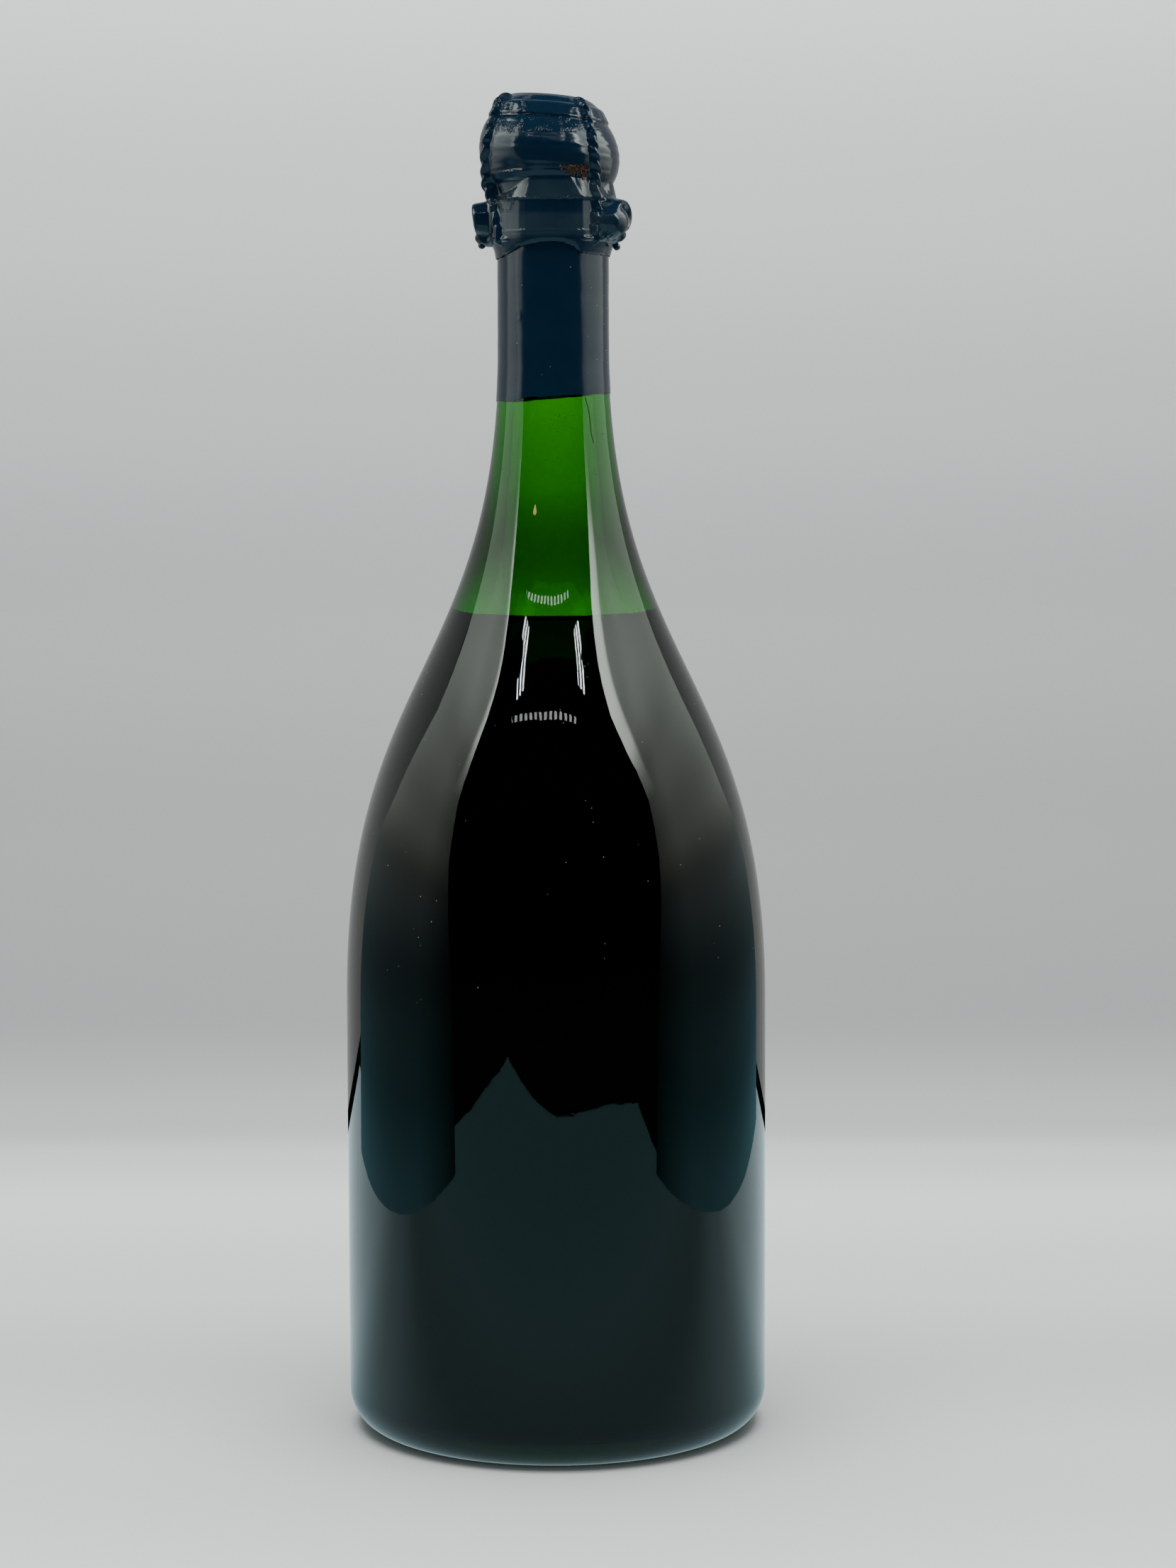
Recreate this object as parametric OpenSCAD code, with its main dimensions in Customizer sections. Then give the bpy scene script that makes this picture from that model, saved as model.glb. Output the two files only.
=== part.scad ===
// Sealed magnum of champagne, standing: green glass with a deep punt, wine, cork,
// metal cap, twisted wire cage and a tight dark blue capsule down to the middle of the neck.
// Z is up and the origin is the middle of the foot. Azimuths are counted from -Y towards +X.

/* [Glass] */
// Outer diameter of the straight body
body_d = 118; // [106:1:124]
// Height of the glass from the foot to the lip
glass_h = 344; // [336:1:356]
// Height where the straight side ends and the shoulder starts
straight_h = 121; // [100:1:132]
// How far the straight side's direction carries into the shoulder curve
shoulder_pull = 94; // [80:1:100]
// How far the neck's direction carries down into the shoulder curve
neck_pull = 93.5; // [80:0.5:100]
// Length of the straight neck, from the end of the shoulder curve to the lip
neck_len = 38; // [34:1:46]
// Outer diameter of the neck
neck_d = 30.5; // [29.5:0.1:31.5]
// Thickness of the body's wall
wall = 5.9; // [4:0.1:7]
// Thickness of the glass under the wine
floor_t = 7; // [5:0.5:9]
// Outer diameter of the flat ring that the bottle stands on
foot_d = 98; // [96:1:100]
// Width of the flat ring that the bottle stands on
foot_w = 2.2; // [1.5:0.1:3]
// Height of the rounded heel
heel_h = 11; // [7:0.5:13]
// Depth of the punt
punt_h = 40; // [30:1:48]

/* [Finish and bore] */
// Outer diameter of the square ring that holds the cage
ring_d = 34; // [33.5:0.1:35]
// Height of the square ring
ring_h = 10; // [9:0.5:11]
// Rounding of the ring's top edge
ring_round = 1.6; // [0.8:0.1:2]
// Rounding of the ring's lower edge
ring_under_round = 0.4; // [0.2:0.05:0.5]
// Diameter of the bore at the cork
bore_d = 17.5; // [17:0.1:18.5]
// Length of the straight bore
bore_len = 26; // [25:0.5:30]
// Inner diameter of the neck below the bore
throat_d = 19; // [18.6:0.1:20]
// Rounding inside the mouth
mouth_round = 0.8; // [0.4:0.1:1.2]

/* [Wine and cork] */
// Distance from the lip down to the wine's surface
fill_drop = 116; // [90:1:160]
// Gap between the wine's solid and the glass
wine_gap = 0.1; // [0.05:0.01:0.2]
// Length of cork inside the neck
cork_in = 24; // [20:0.5:24]
// Thickness of each natural cork disc at the cork's inner end
disc_t = 5.5; // [4:0.5:6.5]
// Gap between the cork and the bore
cork_fit = 0.05; // [0.02:0.01:0.1]
// Chamfer of the cork's inner end
cork_chamfer = 0.7; // [0.3:0.1:1]
// Diameter of the cork's mushroom head
head_d = 37.8; // [36.5:0.1:39]
// Height of the cork's mushroom head above the lip
head_h = 22.4; // [21:0.1:24]
// Gap between the mushroom head and the lip
head_gap = 0.3; // [0.1:0.05:0.5]

/* [Cap and cage] */
// Diameter of the metal cap's skirt
cap_d = 33; // [32.8:0.1:33.6]
// Height of the cap's raised middle above the head's shoulder
cap_h = 5.4; // [5:0.1:6]
// Diameter of the cap's raised middle
cap_middle_d = 18.4; // [17:0.1:19]
// Thickness of the cap's sheet
cap_t = 0.3; // [0.2:0.05:0.4]
// Diameter of the wire of the legs and the top ring
wire_d = 0.9; // [0.7:0.05:1]
// Diameter of the belt wire, which also makes the eyelets
belt_wire_d = 1.1; // [0.9:0.05:1.2]
// Length of one full twist of a leg
twist_pitch = 5.2; // [4.5:0.1:6.5]
// Gap between wires, and between a wire and what it lies on
wire_gap = 0.05; // [0.03:0.01:0.08]
// Azimuth of each leg at the cap
leg_azimuths = [-61, 34, 124, -146];
// How far each leg has drifted round by the time it reaches the belt
leg_drifts = [7, 12, -4, 5];
// How far each leg bows sideways between the cap and the belt
leg_bows = [-14, 0, 3, -3];

/* [Eyelets] */
// Azimuth of the eyelet that is untwisted to open the cage
eyelet_azimuth = 68; // [64:1:76]
// Azimuth of the take-up loop on the other side of the belt
take_up_azimuth = -97; // [-104:1:-92]
// Outward lean of the folded-up eyelet
eyelet_lean = 3; // [0:1:8]
// Length of the root that stands out from the belt
root_len = 1.4; // [1.2:0.1:2]
// Length of the eyelet's twisted shank
shank_len = 2; // [1.6:0.1:3]
// Width of the eyelet between the middles of its wire
eyelet_w = 10.4; // [8:0.2:11]
// Height of the eyelet between the middles of its wire
eyelet_h = 7.6; // [6.6:0.2:9]
// Width of the take-up loop between the middles of its wire
take_up_w = 6.4; // [5:0.2:8]
// Outward lean of the take-up loop
take_up_lean = 8; // [0:1:12]

/* [Capsule] */
// Thickness of the capsule's skin
skin_t = 0.25; // [0.15:0.05:0.35]
// Gap between the skin and what is under it
skin_gap = 0.14; // [0.1:0.02:0.2]
// Distance from the lip down to the capsule's lower edge, at the bottle's axis
skin_drop = 55; // [44:1:64]
// Slant of the capsule's lower edge
skin_slant = 3.8; // [0:0.2:5]
// Drop from the glass ring's underside to the hood's hem
hem_drop = 5.4; // [5:0.1:6]
// Radius of the separate top disc
disc_r = 11; // [10.9:0.05:11.1]

/* [Hidden] */
$fn = 96;
eps = 0.01;
curve_steps = 28;

glass_green = [0.10, 0.33, 0.07, 0.6];
wine_dark = [0.05, 0.07, 0.02];
cork_tan = [0.66, 0.48, 0.30];
tin_grey = [0.62, 0.60, 0.55];
wire_grey = [0.45, 0.40, 0.34];
capsule_navy = [0.03, 0.08, 0.15];

body_r = body_d / 2;
neck_start_h = glass_h - neck_len;
fill_h = glass_h - fill_drop;
skin_low_h = glass_h - skin_drop;
neck_r = neck_d / 2;
ring_r = ring_d / 2;
ring_low = glass_h - ring_h;
bore_r = bore_d / 2;
foot_r = foot_d / 2;
punt_r = foot_r - foot_w;

// The punt is a bell, and the wine's side of it runs to a round valley against the wall.
punt_lean = 10;
punt_turn = 0.55;
punt_crown = 0.45;
valley_gap = 2.8;
valley_in_r = punt_r - valley_gap;
valley_round = (body_r - wall - valley_in_r) / 2;

// Points of a cubic curve
function cubic(a, b, c, d, t) =
    pow(1 - t, 3) * a + 3 * pow(1 - t, 2) * t * b + 3 * (1 - t) * t * t * c + t * t * t * d;
function cubic_points(a, b, c, d, n) = [for (i = [0:n]) cubic(a, b, c, d, i / n)];
function reversed(p) = [for (i = [len(p) - 1:-1:0]) p[i]];
// Points of an elliptic arc round a centre
function arc(c, rx, ry, a0, a1, n) =
    [for (i = [0:n]) let (a = a0 + (a1 - a0) * i / n) c + [rx * cos(a), ry * sin(a)]];

function shoulder(r_low, r_high) = cubic_points([r_low, straight_h],
    [r_low, straight_h + shoulder_pull], [r_high, neck_start_h - neck_pull],
    [r_high, neck_start_h], curve_steps);

function glass_outside() = concat(
    [[punt_r, 0]],
    arc([foot_r, heel_h], body_r - foot_r, heel_h, -90, 0, 8),
    shoulder(body_r, neck_r),
    [[neck_r, ring_low - ring_under_round]],
    [[neck_r + ring_under_round, ring_low], [ring_r - ring_under_round, ring_low]],
    [[ring_r, ring_low + ring_under_round]],
    arc([ring_r - ring_round, glass_h - ring_round], ring_round, ring_round, 0, 90, 5));

// The cavity's outline from the middle of the floor to the bore, drawn in by a gap
function cavity(gap) = let (low = floor_t + gap, side = body_r - wall - gap, round = valley_round)
    concat(
        reversed(cubic_points([valley_in_r + gap, low + round],
            [valley_in_r + gap, punt_h * punt_turn + low],
            [punt_r * punt_crown, punt_h + low], [0, punt_h + low], curve_steps / 2)),
        arc([side - round + gap, low + round], round - gap, round, 180, 360, 10),
        shoulder(side, throat_d / 2 - gap));

module glass_bottle() color(glass_green) rotate_extrude() polygon(concat(
    glass_outside(),
    arc([bore_r + mouth_round, glass_h - mouth_round], mouth_round, mouth_round, 90, 180, 4),
    [[bore_r, glass_h - bore_len]],
    reversed(cavity(0)),
    reversed(cubic_points([punt_r, 0], [punt_r - punt_lean, punt_h * punt_turn],
        [punt_r * punt_crown, punt_h], [0, punt_h], curve_steps / 2))));

module wine() color(wine_dark) rotate_extrude() intersection() {
    polygon(concat(cavity(wine_gap), [[0, neck_start_h]]));
    square([body_d, fill_h]);
}

// The cork: an agglomerate body with the mushroom head, and two natural discs at its inner end
shank_r = bore_r - cork_fit;
cork_low = glass_h - cork_in;
head_low = glass_h + head_gap;
head_top = glass_h + head_h;
head_base_r = 12;
head_edge_r = 15.2;
head_crown_h = 2.7;
// The handles stand out past the widest point, which lies at the curve's middle
head_handle_r = (4 * head_d - head_base_r - head_edge_r) / 6;
head_low_pull = 4.2;
head_top_pull = 5.6;
function head_curve(t) = cubic([head_base_r, head_low], [head_handle_r, head_low + head_low_pull],
    [head_handle_r + 0.2, head_top - head_top_pull], [head_edge_r, head_top], t);
// A point off the head's surface
function off_head(t, d) = let (v = head_curve(t + eps) - head_curve(t - eps), n = [v[1], -v[0]])
    head_curve(t) + d * n / norm(n);

module cork_body() color(cork_tan) rotate_extrude() polygon(concat(
    [[0, cork_low + 2 * disc_t], [shank_r, cork_low + 2 * disc_t], [shank_r, head_low]],
    [for (i = [0:16]) head_curve(i / 16)],
    [[head_edge_r - 0.9, head_top + 0.65 * head_crown_h],
        [head_edge_r - 2.2, head_top + 0.95 * head_crown_h], [0, head_top + head_crown_h]]));

module cork_disc_upper() color(cork_tan)
    translate([0, 0, cork_low + disc_t]) cylinder(r = shank_r, h = disc_t);

module cork_disc_lower() color(cork_tan) translate([0, 0, cork_low]) rotate_extrude() polygon([
    [0, 0], [shank_r - cork_chamfer, 0], [shank_r, cork_chamfer], [shank_r, disc_t], [0, disc_t]]);

// The cap is one dished sheet: raised middle, a groove for the cage's ring, and a skirt
cap_r = cap_d / 2;
cap_middle_r = cap_middle_d / 2;
cap_dome = 0.5;
groove_z = head_top + head_crown_h + cap_t + 0.15;
groove_r = cap_middle_r + 0.4;
groove_w = 2.3;
skirt_low = head_top - 0.7;
cap_outline = [
    [0, head_top + cap_h + cap_dome], [cap_middle_r / 2, head_top + cap_h + 0.7 * cap_dome],
    [cap_middle_r, head_top + cap_h], [groove_r, groove_z],
    [groove_r + groove_w, groove_z], [cap_r - 3.2, groove_z + 0.2],
    [cap_r - 1.7, head_top + 2.6], [cap_r - 0.8, head_top + 1], [cap_r, skirt_low]];
cap_inside = [for (p = cap_outline) if (p[0] < cap_r) [max(0, p[0] - cap_t / 2), p[1] - cap_t]];
module crown_cap() color(tin_grey) rotate_extrude()
    polygon(concat(cap_outline, [[cap_r - cap_t, skirt_low]], reversed(cap_inside)));

// The wire pair of a leg: each wire's middle runs at pair_r round the leg's line
pair_r = (wire_d + wire_gap) / 2;
pair_out = pair_r + wire_d / 2;
leg_off = pair_out + wire_gap;
cage_ring_r = groove_r + groove_w / 2;
cage_ring_z = groove_z + wire_d / 2 + wire_gap;

module cage_top_ring() color(wire_grey) translate([0, 0, cage_ring_z])
    rotate_extrude() translate([cage_ring_r, 0]) circle(d = wire_d, $fn = 24);

// The belt runs through the feet of the legs, just under the glass ring
foot_round = (belt_wire_d + wire_d) / 2 + 1.6 * wire_gap;
belt_r = neck_r + 3 * wire_gap + wire_d / 2 + foot_round;
belt_z = ring_low - foot_round - wire_d / 2 - 3 * wire_gap;
// Between the feet and the eyelets' roots it is pulled in to the neck.
belt_in_r = neck_r + 2 * wire_gap + belt_wire_d / 2;
belt_steps = 96;
belt_sides = 8;
belt_free_angle = 20;
belt_bend_angle = 12;
function turned(a) = abs((a + 540) % 360 - 180);
function belt_hold(azimuth) = max([for (a = concat([for (k = [0:3]) leg_azimuth(k, leg_low_z)],
    [eyelet_azimuth, take_up_azimuth]))
    smooth((belt_free_angle - turned(azimuth - a)) / belt_bend_angle)]);
module cage_belt() {
    points = [for (i = [0:belt_steps - 1], j = [0:belt_sides - 1]) let (
        azimuth = 360 * i / belt_steps, a = 360 * j / belt_sides,
        r = belt_in_r + (belt_r - belt_in_r) * belt_hold(azimuth) + belt_wire_d / 2 * cos(a))
        polar(r, azimuth, belt_z + belt_wire_d / 2 * sin(a))];
    function at(i, j) = (i % belt_steps) * belt_sides + j % belt_sides;
    color(wire_grey) polyhedron(points,
        [for (i = [0:belt_steps - 1], j = [0:belt_sides - 1]) each [
            [at(i, j), at(i, j + 1), at(i + 1, j + 1)], [at(i, j), at(i + 1, j + 1), at(i + 1, j)]]]);
}

// A leg's line from the top ring over the cap's edge, down the head and outside the glass ring
leg_low_r = max(ring_r + leg_off, belt_r + foot_round);
leg_low_z = ring_low + 1.4;
leg_knots = concat([
    [cage_ring_r + 0.75, groove_z + leg_off], [cap_r - 3.2, groove_z + 0.2 + leg_off],
    [cap_r - 1.1, head_top + 3.4], [cap_r + 0.2, head_top + 1.3], off_head(0.93, leg_off + 0.35)],
    [for (t = [0.82, 0.66, 0.5, 0.38]) off_head(t, leg_off + 0.02)],
    [[leg_low_r + 0.15, glass_h - 1], [leg_low_r, glass_h - 5.2], [leg_low_r, leg_low_z]]);
knot_steps = 5;
function through(p, i, t) = let (a = p[max(i - 1, 0)], b = p[i], c = p[i + 1],
        d = p[min(i + 2, len(p) - 1)])
    0.5 * (2 * b + (c - a) * t + (2 * a - 5 * b + 4 * c - d) * t * t
        + (3 * b - a - 3 * c + d) * t * t * t);
leg_line = concat([for (i = [0:len(leg_knots) - 2], j = [0:knot_steps - 1])
    through(leg_knots, i, j / knot_steps)], [leg_knots[len(leg_knots) - 1]]);
function lengths(p) = [for (i = 0, s = 0; i < len(p);
    s = s + (i < len(p) - 1 ? norm(p[i + 1] - p[i]) : 0), i = i + 1) s];
leg_marks = lengths(leg_line);
leg_len = leg_marks[len(leg_marks) - 1];
leg_r_table = [for (i = [0:len(leg_line) - 1]) [leg_marks[i], leg_line[i][0]]];
leg_z_table = [for (i = [0:len(leg_line) - 1]) [leg_marks[i], leg_line[i][1]]];
function leg_at(s) = [lookup(s, leg_r_table), lookup(s, leg_z_table)];

function smooth(x) = let (c = min(max(x, 0), 1)) c * c * (3 - 2 * c);
// A leg's azimuth at a height
leg_bow_z = glass_h + 3;
leg_bow_h = 9;
function leg_azimuth(k, z) = leg_azimuths[k]
    + leg_drifts[k] * smooth((head_top - 8 - z) / (head_top - 8 - leg_low_z))
    + leg_bows[k] * exp(-pow((z - leg_bow_z) / leg_bow_h, 2));

function polar(r, azimuth, z) = [r * sin(azimuth), -r * cos(azimuth), z];

// One wire of a pair, at s along the leg; side is 1 or -1 and hand sets the way it winds
function strand(k, hand, side, s) = let (m = leg_at(s),
        v = leg_at(min(s + 0.2, leg_len)) - leg_at(max(s - 0.2, 0)), n = [-v[1], v[0]] / norm(v),
        turn = 90 + hand * 360 * (leg_len - s) / twist_pitch,
        r = m[0] + side * pair_r * cos(turn) * n[0], z = m[1] + side * pair_r * cos(turn) * n[1],
        azimuth = leg_azimuth(k, m[1]) + side * pair_r * sin(turn) / m[0] * 180 / PI)
    polar(r, azimuth, z);

// The foot: down outside the belt, under it, up behind it, over it and back to the leg
function foot(k, side) = let (azimuth = leg_azimuth(k, leg_low_z))
    [for (a = [0:45:270]) let (sideways = side * pair_r * (1 - a / 135) / belt_r * 180 / PI)
        polar(belt_r + foot_round * cos(a), azimuth + sideways, belt_z - foot_round * sin(a))];

strand_steps = 68;
function leg_path(k, hand) = concat(
    [for (i = [0:strand_steps]) strand(k, hand, 1, leg_len * i / strand_steps)],
    foot(k, 1),
    [let (azimuth = leg_azimuth(k, leg_low_z) - pair_r / belt_r * 180 / PI)
        polar((belt_r + foot_round + leg_low_r) / 2 - 0.25, azimuth, ring_low - 0.1)],
    [for (i = [strand_steps:-1:0]) strand(k, hand, -1, leg_len * i / strand_steps)]);

// Frames that turn as little as they can along a path
function unit(v) = v / norm(v);
function heading(p, i) = unit(p[min(i + 1, len(p) - 1)] - p[max(i - 1, 0)]);
function across(v, h) = unit(v - (v * h) * h);
function frames(p) = [for (i = 0, v = across([0.3, 0.5, 0.8], heading(p, 0)); i < len(p);
    i = i + 1, v = i < len(p) ? across(v, heading(p, i)) : v) v];

// A wire along a path, with flat ends
wire_sides = 6;
module wire_along(path, d) {
    up = frames(path);
    n = len(path);
    rings = [for (i = [0:n - 1], j = [0:wire_sides - 1]) let (a = 360 * j / wire_sides,
        h = heading(path, i)) path[i] + d / 2 * (cos(a) * up[i] + sin(a) * cross(h, up[i]))];
    function at(i, j) = i * wire_sides + j % wire_sides;
    polyhedron(rings, concat(
        [[for (j = [0:wire_sides - 1]) at(0, j)], [for (j = [wire_sides - 1:-1:0]) at(n - 1, j)]],
        [for (i = [0:n - 2], j = [0:wire_sides - 1]) each [
            [at(i, j), at(i + 1, j + 1), at(i, j + 1)], [at(i, j), at(i + 1, j), at(i + 1, j + 1)]]]));
}

module cage_leg(k, hand) color(wire_grey) wire_along(leg_path(k, hand), wire_d);
module cage_leg_left() cage_leg(0, 1);
module cage_leg_right() cage_leg(1, -1);
module cage_leg_back_right() cage_leg(2, 1);
module cage_leg_back_left() cage_leg(3, -1);

// The eyelets: a twisted root out of the belt, then a twisted shank and a loop, folded up
eye_pair_r = (belt_wire_d + wire_gap) / 2;
eye_pair_out = eye_pair_r + belt_wire_d / 2;
root_start = belt_r + belt_wire_d / 2 + 3 * wire_gap;
hinge_r = root_start + root_len + 2 * wire_gap + eye_pair_out;
root_steps = 8;
module root(azimuth) rotate([0, 0, azimuth]) for (side = [0, 180])
    wire_along([for (i = [0:root_steps]) let (a = side + 180 * smooth(i / root_steps))
        [eye_pair_r * cos(a), -root_start - root_len * i / root_steps,
            belt_z + eye_pair_r * sin(a)]], belt_wire_d);

// The wire of a loop of width w, standing on a shank at the hinge radius
shank_steps = 6;
loop_steps = 22;
loop_open = 14;
function shank_wire(side) = [for (i = [0:shank_steps]) let (a = side + 180 * (1 - i / shank_steps))
    [eye_pair_r * cos(a), -hinge_r - eye_pair_r * sin(a), belt_z + shank_len * i / shank_steps]];
function loop_wire(w) = [for (i = [0:loop_steps])
    let (a = -90 + loop_open + (360 - 2 * loop_open) * i / loop_steps)
    [w / 2 * cos(a), -hinge_r, belt_z + shank_len + eyelet_h / 2 * (1.12 + sin(a))]];
function loop_path(w) = concat(shank_wire(0), loop_wire(w), reversed(shank_wire(180)));
module loop(w) wire_along(loop_path(w), belt_wire_d);

module take_up_root() color(wire_grey) root(take_up_azimuth);
module leaned_loop(azimuth, w, lean) rotate([0, 0, azimuth])
    translate([0, -hinge_r, belt_z]) rotate([lean, 0, 0])
        translate([0, hinge_r, -belt_z]) loop(w);
module take_up_loop() color(wire_grey) leaned_loop(take_up_azimuth, take_up_w, take_up_lean);
module eyelet_root() color(wire_grey) root(eyelet_azimuth);
module eyelet_loop() color(wire_grey) leaned_loop(eyelet_azimuth, eyelet_w, eyelet_lean);

// The hood is a tight skin over cap, head, cage, eyelets and glass ring, ending in a hem.
// Each row is a point between the legs, then how far the skin stands off it over a leg,
// and the way it stands off.
leg_rise = 2 * leg_off + 0.1;
belt_out = belt_r + belt_wire_d / 2 + skin_gap;
// Room for the flats of the hood's mesh round a curved piece
flat_room = 0.09;
hem_r = neck_r + skin_t + 4 * skin_gap;
function side_row(r, z, rise) = [[r, z], rise, [1, 0]];
function head_row(t) = [off_head(t, skin_gap + flat_room), leg_rise + 0.15,
    unit(off_head(t, 1) - off_head(t, 0))];
hood_rows = concat([
    [[disc_r + 0.1, groove_z + 2.05], 0.1, [0, 1]],
    [[cap_r - 3.1, groove_z + 1.35], 0.9, [0.2, 1]],
    [[cap_r - 1.5, head_top + 3.35], leg_rise - 0.7, unit([0.7, 1])],
    [[cap_r - 0.4, head_top + 1.3], leg_rise - 0.2, unit([1, 0.5])],
    [[cap_r + 0.35, head_top - 0.75], leg_rise - 0.15, unit([1, 0.3])]],
    [for (t = [0.86, 0.74, 0.6, 0.46, 0.34]) head_row(t)],
    [side_row(ring_r + 0.3, glass_h + 3.9, leg_rise + 0.6),
        side_row(ring_r + 0.3, glass_h + 1.4, leg_rise + 0.2),
        side_row(ring_r + skin_gap + flat_room, glass_h - 1.3, leg_rise + 0.1),
        side_row(ring_r + skin_gap + flat_room, glass_h - 5, leg_rise),
        side_row(ring_r + skin_gap + flat_room, ring_low + 1.5, leg_rise),
        side_row(belt_out, belt_z + 0.75, leg_rise - 0.6),
        side_row(belt_out, belt_z - 1.1, leg_rise - 1),
        side_row((belt_out + hem_r) / 2, ring_low - hem_drop + 1.3, 0.55),
        side_row(hem_r, ring_low - hem_drop, 0)]);

// Skin over a folded-up loop: it keeps a flat front, and fades out past the loop's edge
swell_fade = 7;
function swell(r, azimuth, z, centre, w, lean) = let (
        away = azimuth - centre, side = atan((w / 2 + 1.1) / hinge_r),
        out = (hinge_r + eye_pair_out + skin_gap + lean * max(z - belt_z, 0)) / cos(min(abs(away), side)),
        over = smooth((side + swell_fade - abs(away)) / swell_fade),
        high = belt_z + shank_len + eyelet_h + 1.9,
        up = smooth((high + 3.6 - z) / 3.6) * smooth((z - belt_z + 3.4) / 3))
    max(0, out - r) * over * up;

// Columns follow the legs, so that each leg's ridge stays sharp. From each leg to the next
// there are three on its ridge, some plain ones, and two on the next leg's ridge.
ridge_offsets = [0, 3.4, 8.6];
ridge_weights = [1, 0.85, 0.08];
plain_columns = [7, 15, 7, 14];
column_list = [for (k = [0:3], i = [0:plain_columns[k] + 4]) [k, i]];
columns = len(column_list);
function leg_turn(k, z) = leg_azimuth(k % 4, z) + (k >= 3 ? 360 : 0);
function column(c, z) = let (k = column_list[c][0], i = column_list[c][1], n = plain_columns[k] + 5,
        a = leg_turn(k, z), b = k == 3 ? leg_azimuth(0, z) + 360 : leg_turn(k + 1, z),
        ridge = ridge_offsets[2])
    i <= 2 ? [a + ridge_offsets[i], ridge_weights[i]]
    : i > n - 3 ? [b - ridge_offsets[n - i], ridge_weights[n - i]]
    : [a + ridge + (b - a - 2 * ridge) * (i - 2) / (n - 4), 0];

function wrapped(a) = a > 180 ? a - 360 : a < -180 ? a + 360 : a;
function hood_point(row, c, out) = let (q = hood_rows[row], col = column(c, q[0][1]),
        p = q[0] + (q[1] * col[1] + out) * q[2], azimuth = wrapped(col[0]), z = q[0][1],
        lift = swell(p[0] - out, azimuth, z, eyelet_azimuth, eyelet_w, tan(eyelet_lean))
            + swell(p[0] - out, azimuth, z, take_up_azimuth, take_up_w, tan(take_up_lean)))
    polar(p[0] + lift, azimuth, p[1]);

module capsule_hood() {
    rows = len(hood_rows);
    function at(side, i, c) = (side * rows + i) * columns + c % columns;
    color(capsule_navy) polyhedron(
        [for (out = [0, skin_t], i = [0:rows - 1], c = [0:columns - 1]) hood_point(i, c, out)],
        concat(
            [for (i = [0:rows - 2], c = [0:columns - 1]) each [
                [at(1, i, c), at(1, i, c + 1), at(1, i + 1, c + 1)],
                [at(1, i, c), at(1, i + 1, c + 1), at(1, i + 1, c)],
                [at(0, i, c), at(0, i + 1, c + 1), at(0, i, c + 1)],
                [at(0, i, c), at(0, i + 1, c), at(0, i + 1, c + 1)]]],
            [for (c = [0:columns - 1]) each [
                [at(0, 0, c), at(0, 0, c + 1), at(1, 0, c + 1)],
                [at(0, 0, c), at(1, 0, c + 1), at(1, 0, c)],
                [at(0, rows - 1, c), at(1, rows - 1, c + 1), at(0, rows - 1, c + 1)],
                [at(0, rows - 1, c), at(1, rows - 1, c), at(1, rows - 1, c + 1)]]]));
}

// The pressed disc that closes the rolled capsule at the top
disc_crown = head_top + cap_h + cap_dome + skin_gap;
disc_drop = 0.75;
module capsule_top_disc() color(capsule_navy) {
    under = [for (i = [0:8]) let (r = disc_r * i / 8) [r, disc_crown - disc_drop * pow(r / disc_r, 2)]];
    rotate_extrude() polygon(concat(under, reversed([for (p = under) p + [0, skin_t]])));
}

// The sleeve clings to the neck below the hood and ends in a slightly slanted edge
sleeve_top = ring_low - hem_drop + 1.6;
sleeve_gap = 0.04;
sleeve_spare = 14;
sleeve_under = concat(
    [for (p = shoulder(body_r, neck_r)) if (p[1] > skin_low_h - sleeve_spare) p + [sleeve_gap, 0]],
    [[neck_r + sleeve_gap, sleeve_top]]);
module capsule_sleeve() color(capsule_navy) difference() {
    rotate_extrude()
        polygon(concat([for (p = sleeve_under) p + [skin_t, 0]], reversed(sleeve_under)));
    translate([0, 0, skin_low_h]) rotate([0, -skin_slant, 0]) translate([0, 0, -body_r])
        cube(body_d, center = true);
}

glass_bottle();
wine();
cork_body();
cork_disc_upper();
cork_disc_lower();
crown_cap();
cage_top_ring();
cage_leg_left();
cage_leg_right();
cage_leg_back_right();
cage_leg_back_left();
cage_belt();
take_up_root();
take_up_loop();
eyelet_root();
eyelet_loop();
capsule_hood();
capsule_top_disc();
capsule_sleeve();
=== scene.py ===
"""Looks of a sealed magnum of champagne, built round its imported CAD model."""
import math

import bpy
import numpy as np
from mathutils import Matrix, Vector
from mathutils.bvhtree import BVHTree


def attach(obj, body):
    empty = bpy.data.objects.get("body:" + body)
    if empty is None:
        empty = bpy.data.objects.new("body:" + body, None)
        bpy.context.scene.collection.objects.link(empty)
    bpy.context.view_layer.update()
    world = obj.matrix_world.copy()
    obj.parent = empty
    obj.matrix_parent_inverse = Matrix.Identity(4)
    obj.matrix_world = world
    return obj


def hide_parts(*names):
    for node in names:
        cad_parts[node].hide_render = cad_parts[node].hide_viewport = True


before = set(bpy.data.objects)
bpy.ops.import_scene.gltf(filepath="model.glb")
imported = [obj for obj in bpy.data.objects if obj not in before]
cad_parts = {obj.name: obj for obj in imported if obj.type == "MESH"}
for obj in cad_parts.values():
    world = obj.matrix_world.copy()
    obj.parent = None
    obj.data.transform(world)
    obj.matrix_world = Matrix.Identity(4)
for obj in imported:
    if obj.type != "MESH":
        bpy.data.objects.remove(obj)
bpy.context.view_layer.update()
MM = 0.001

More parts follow.
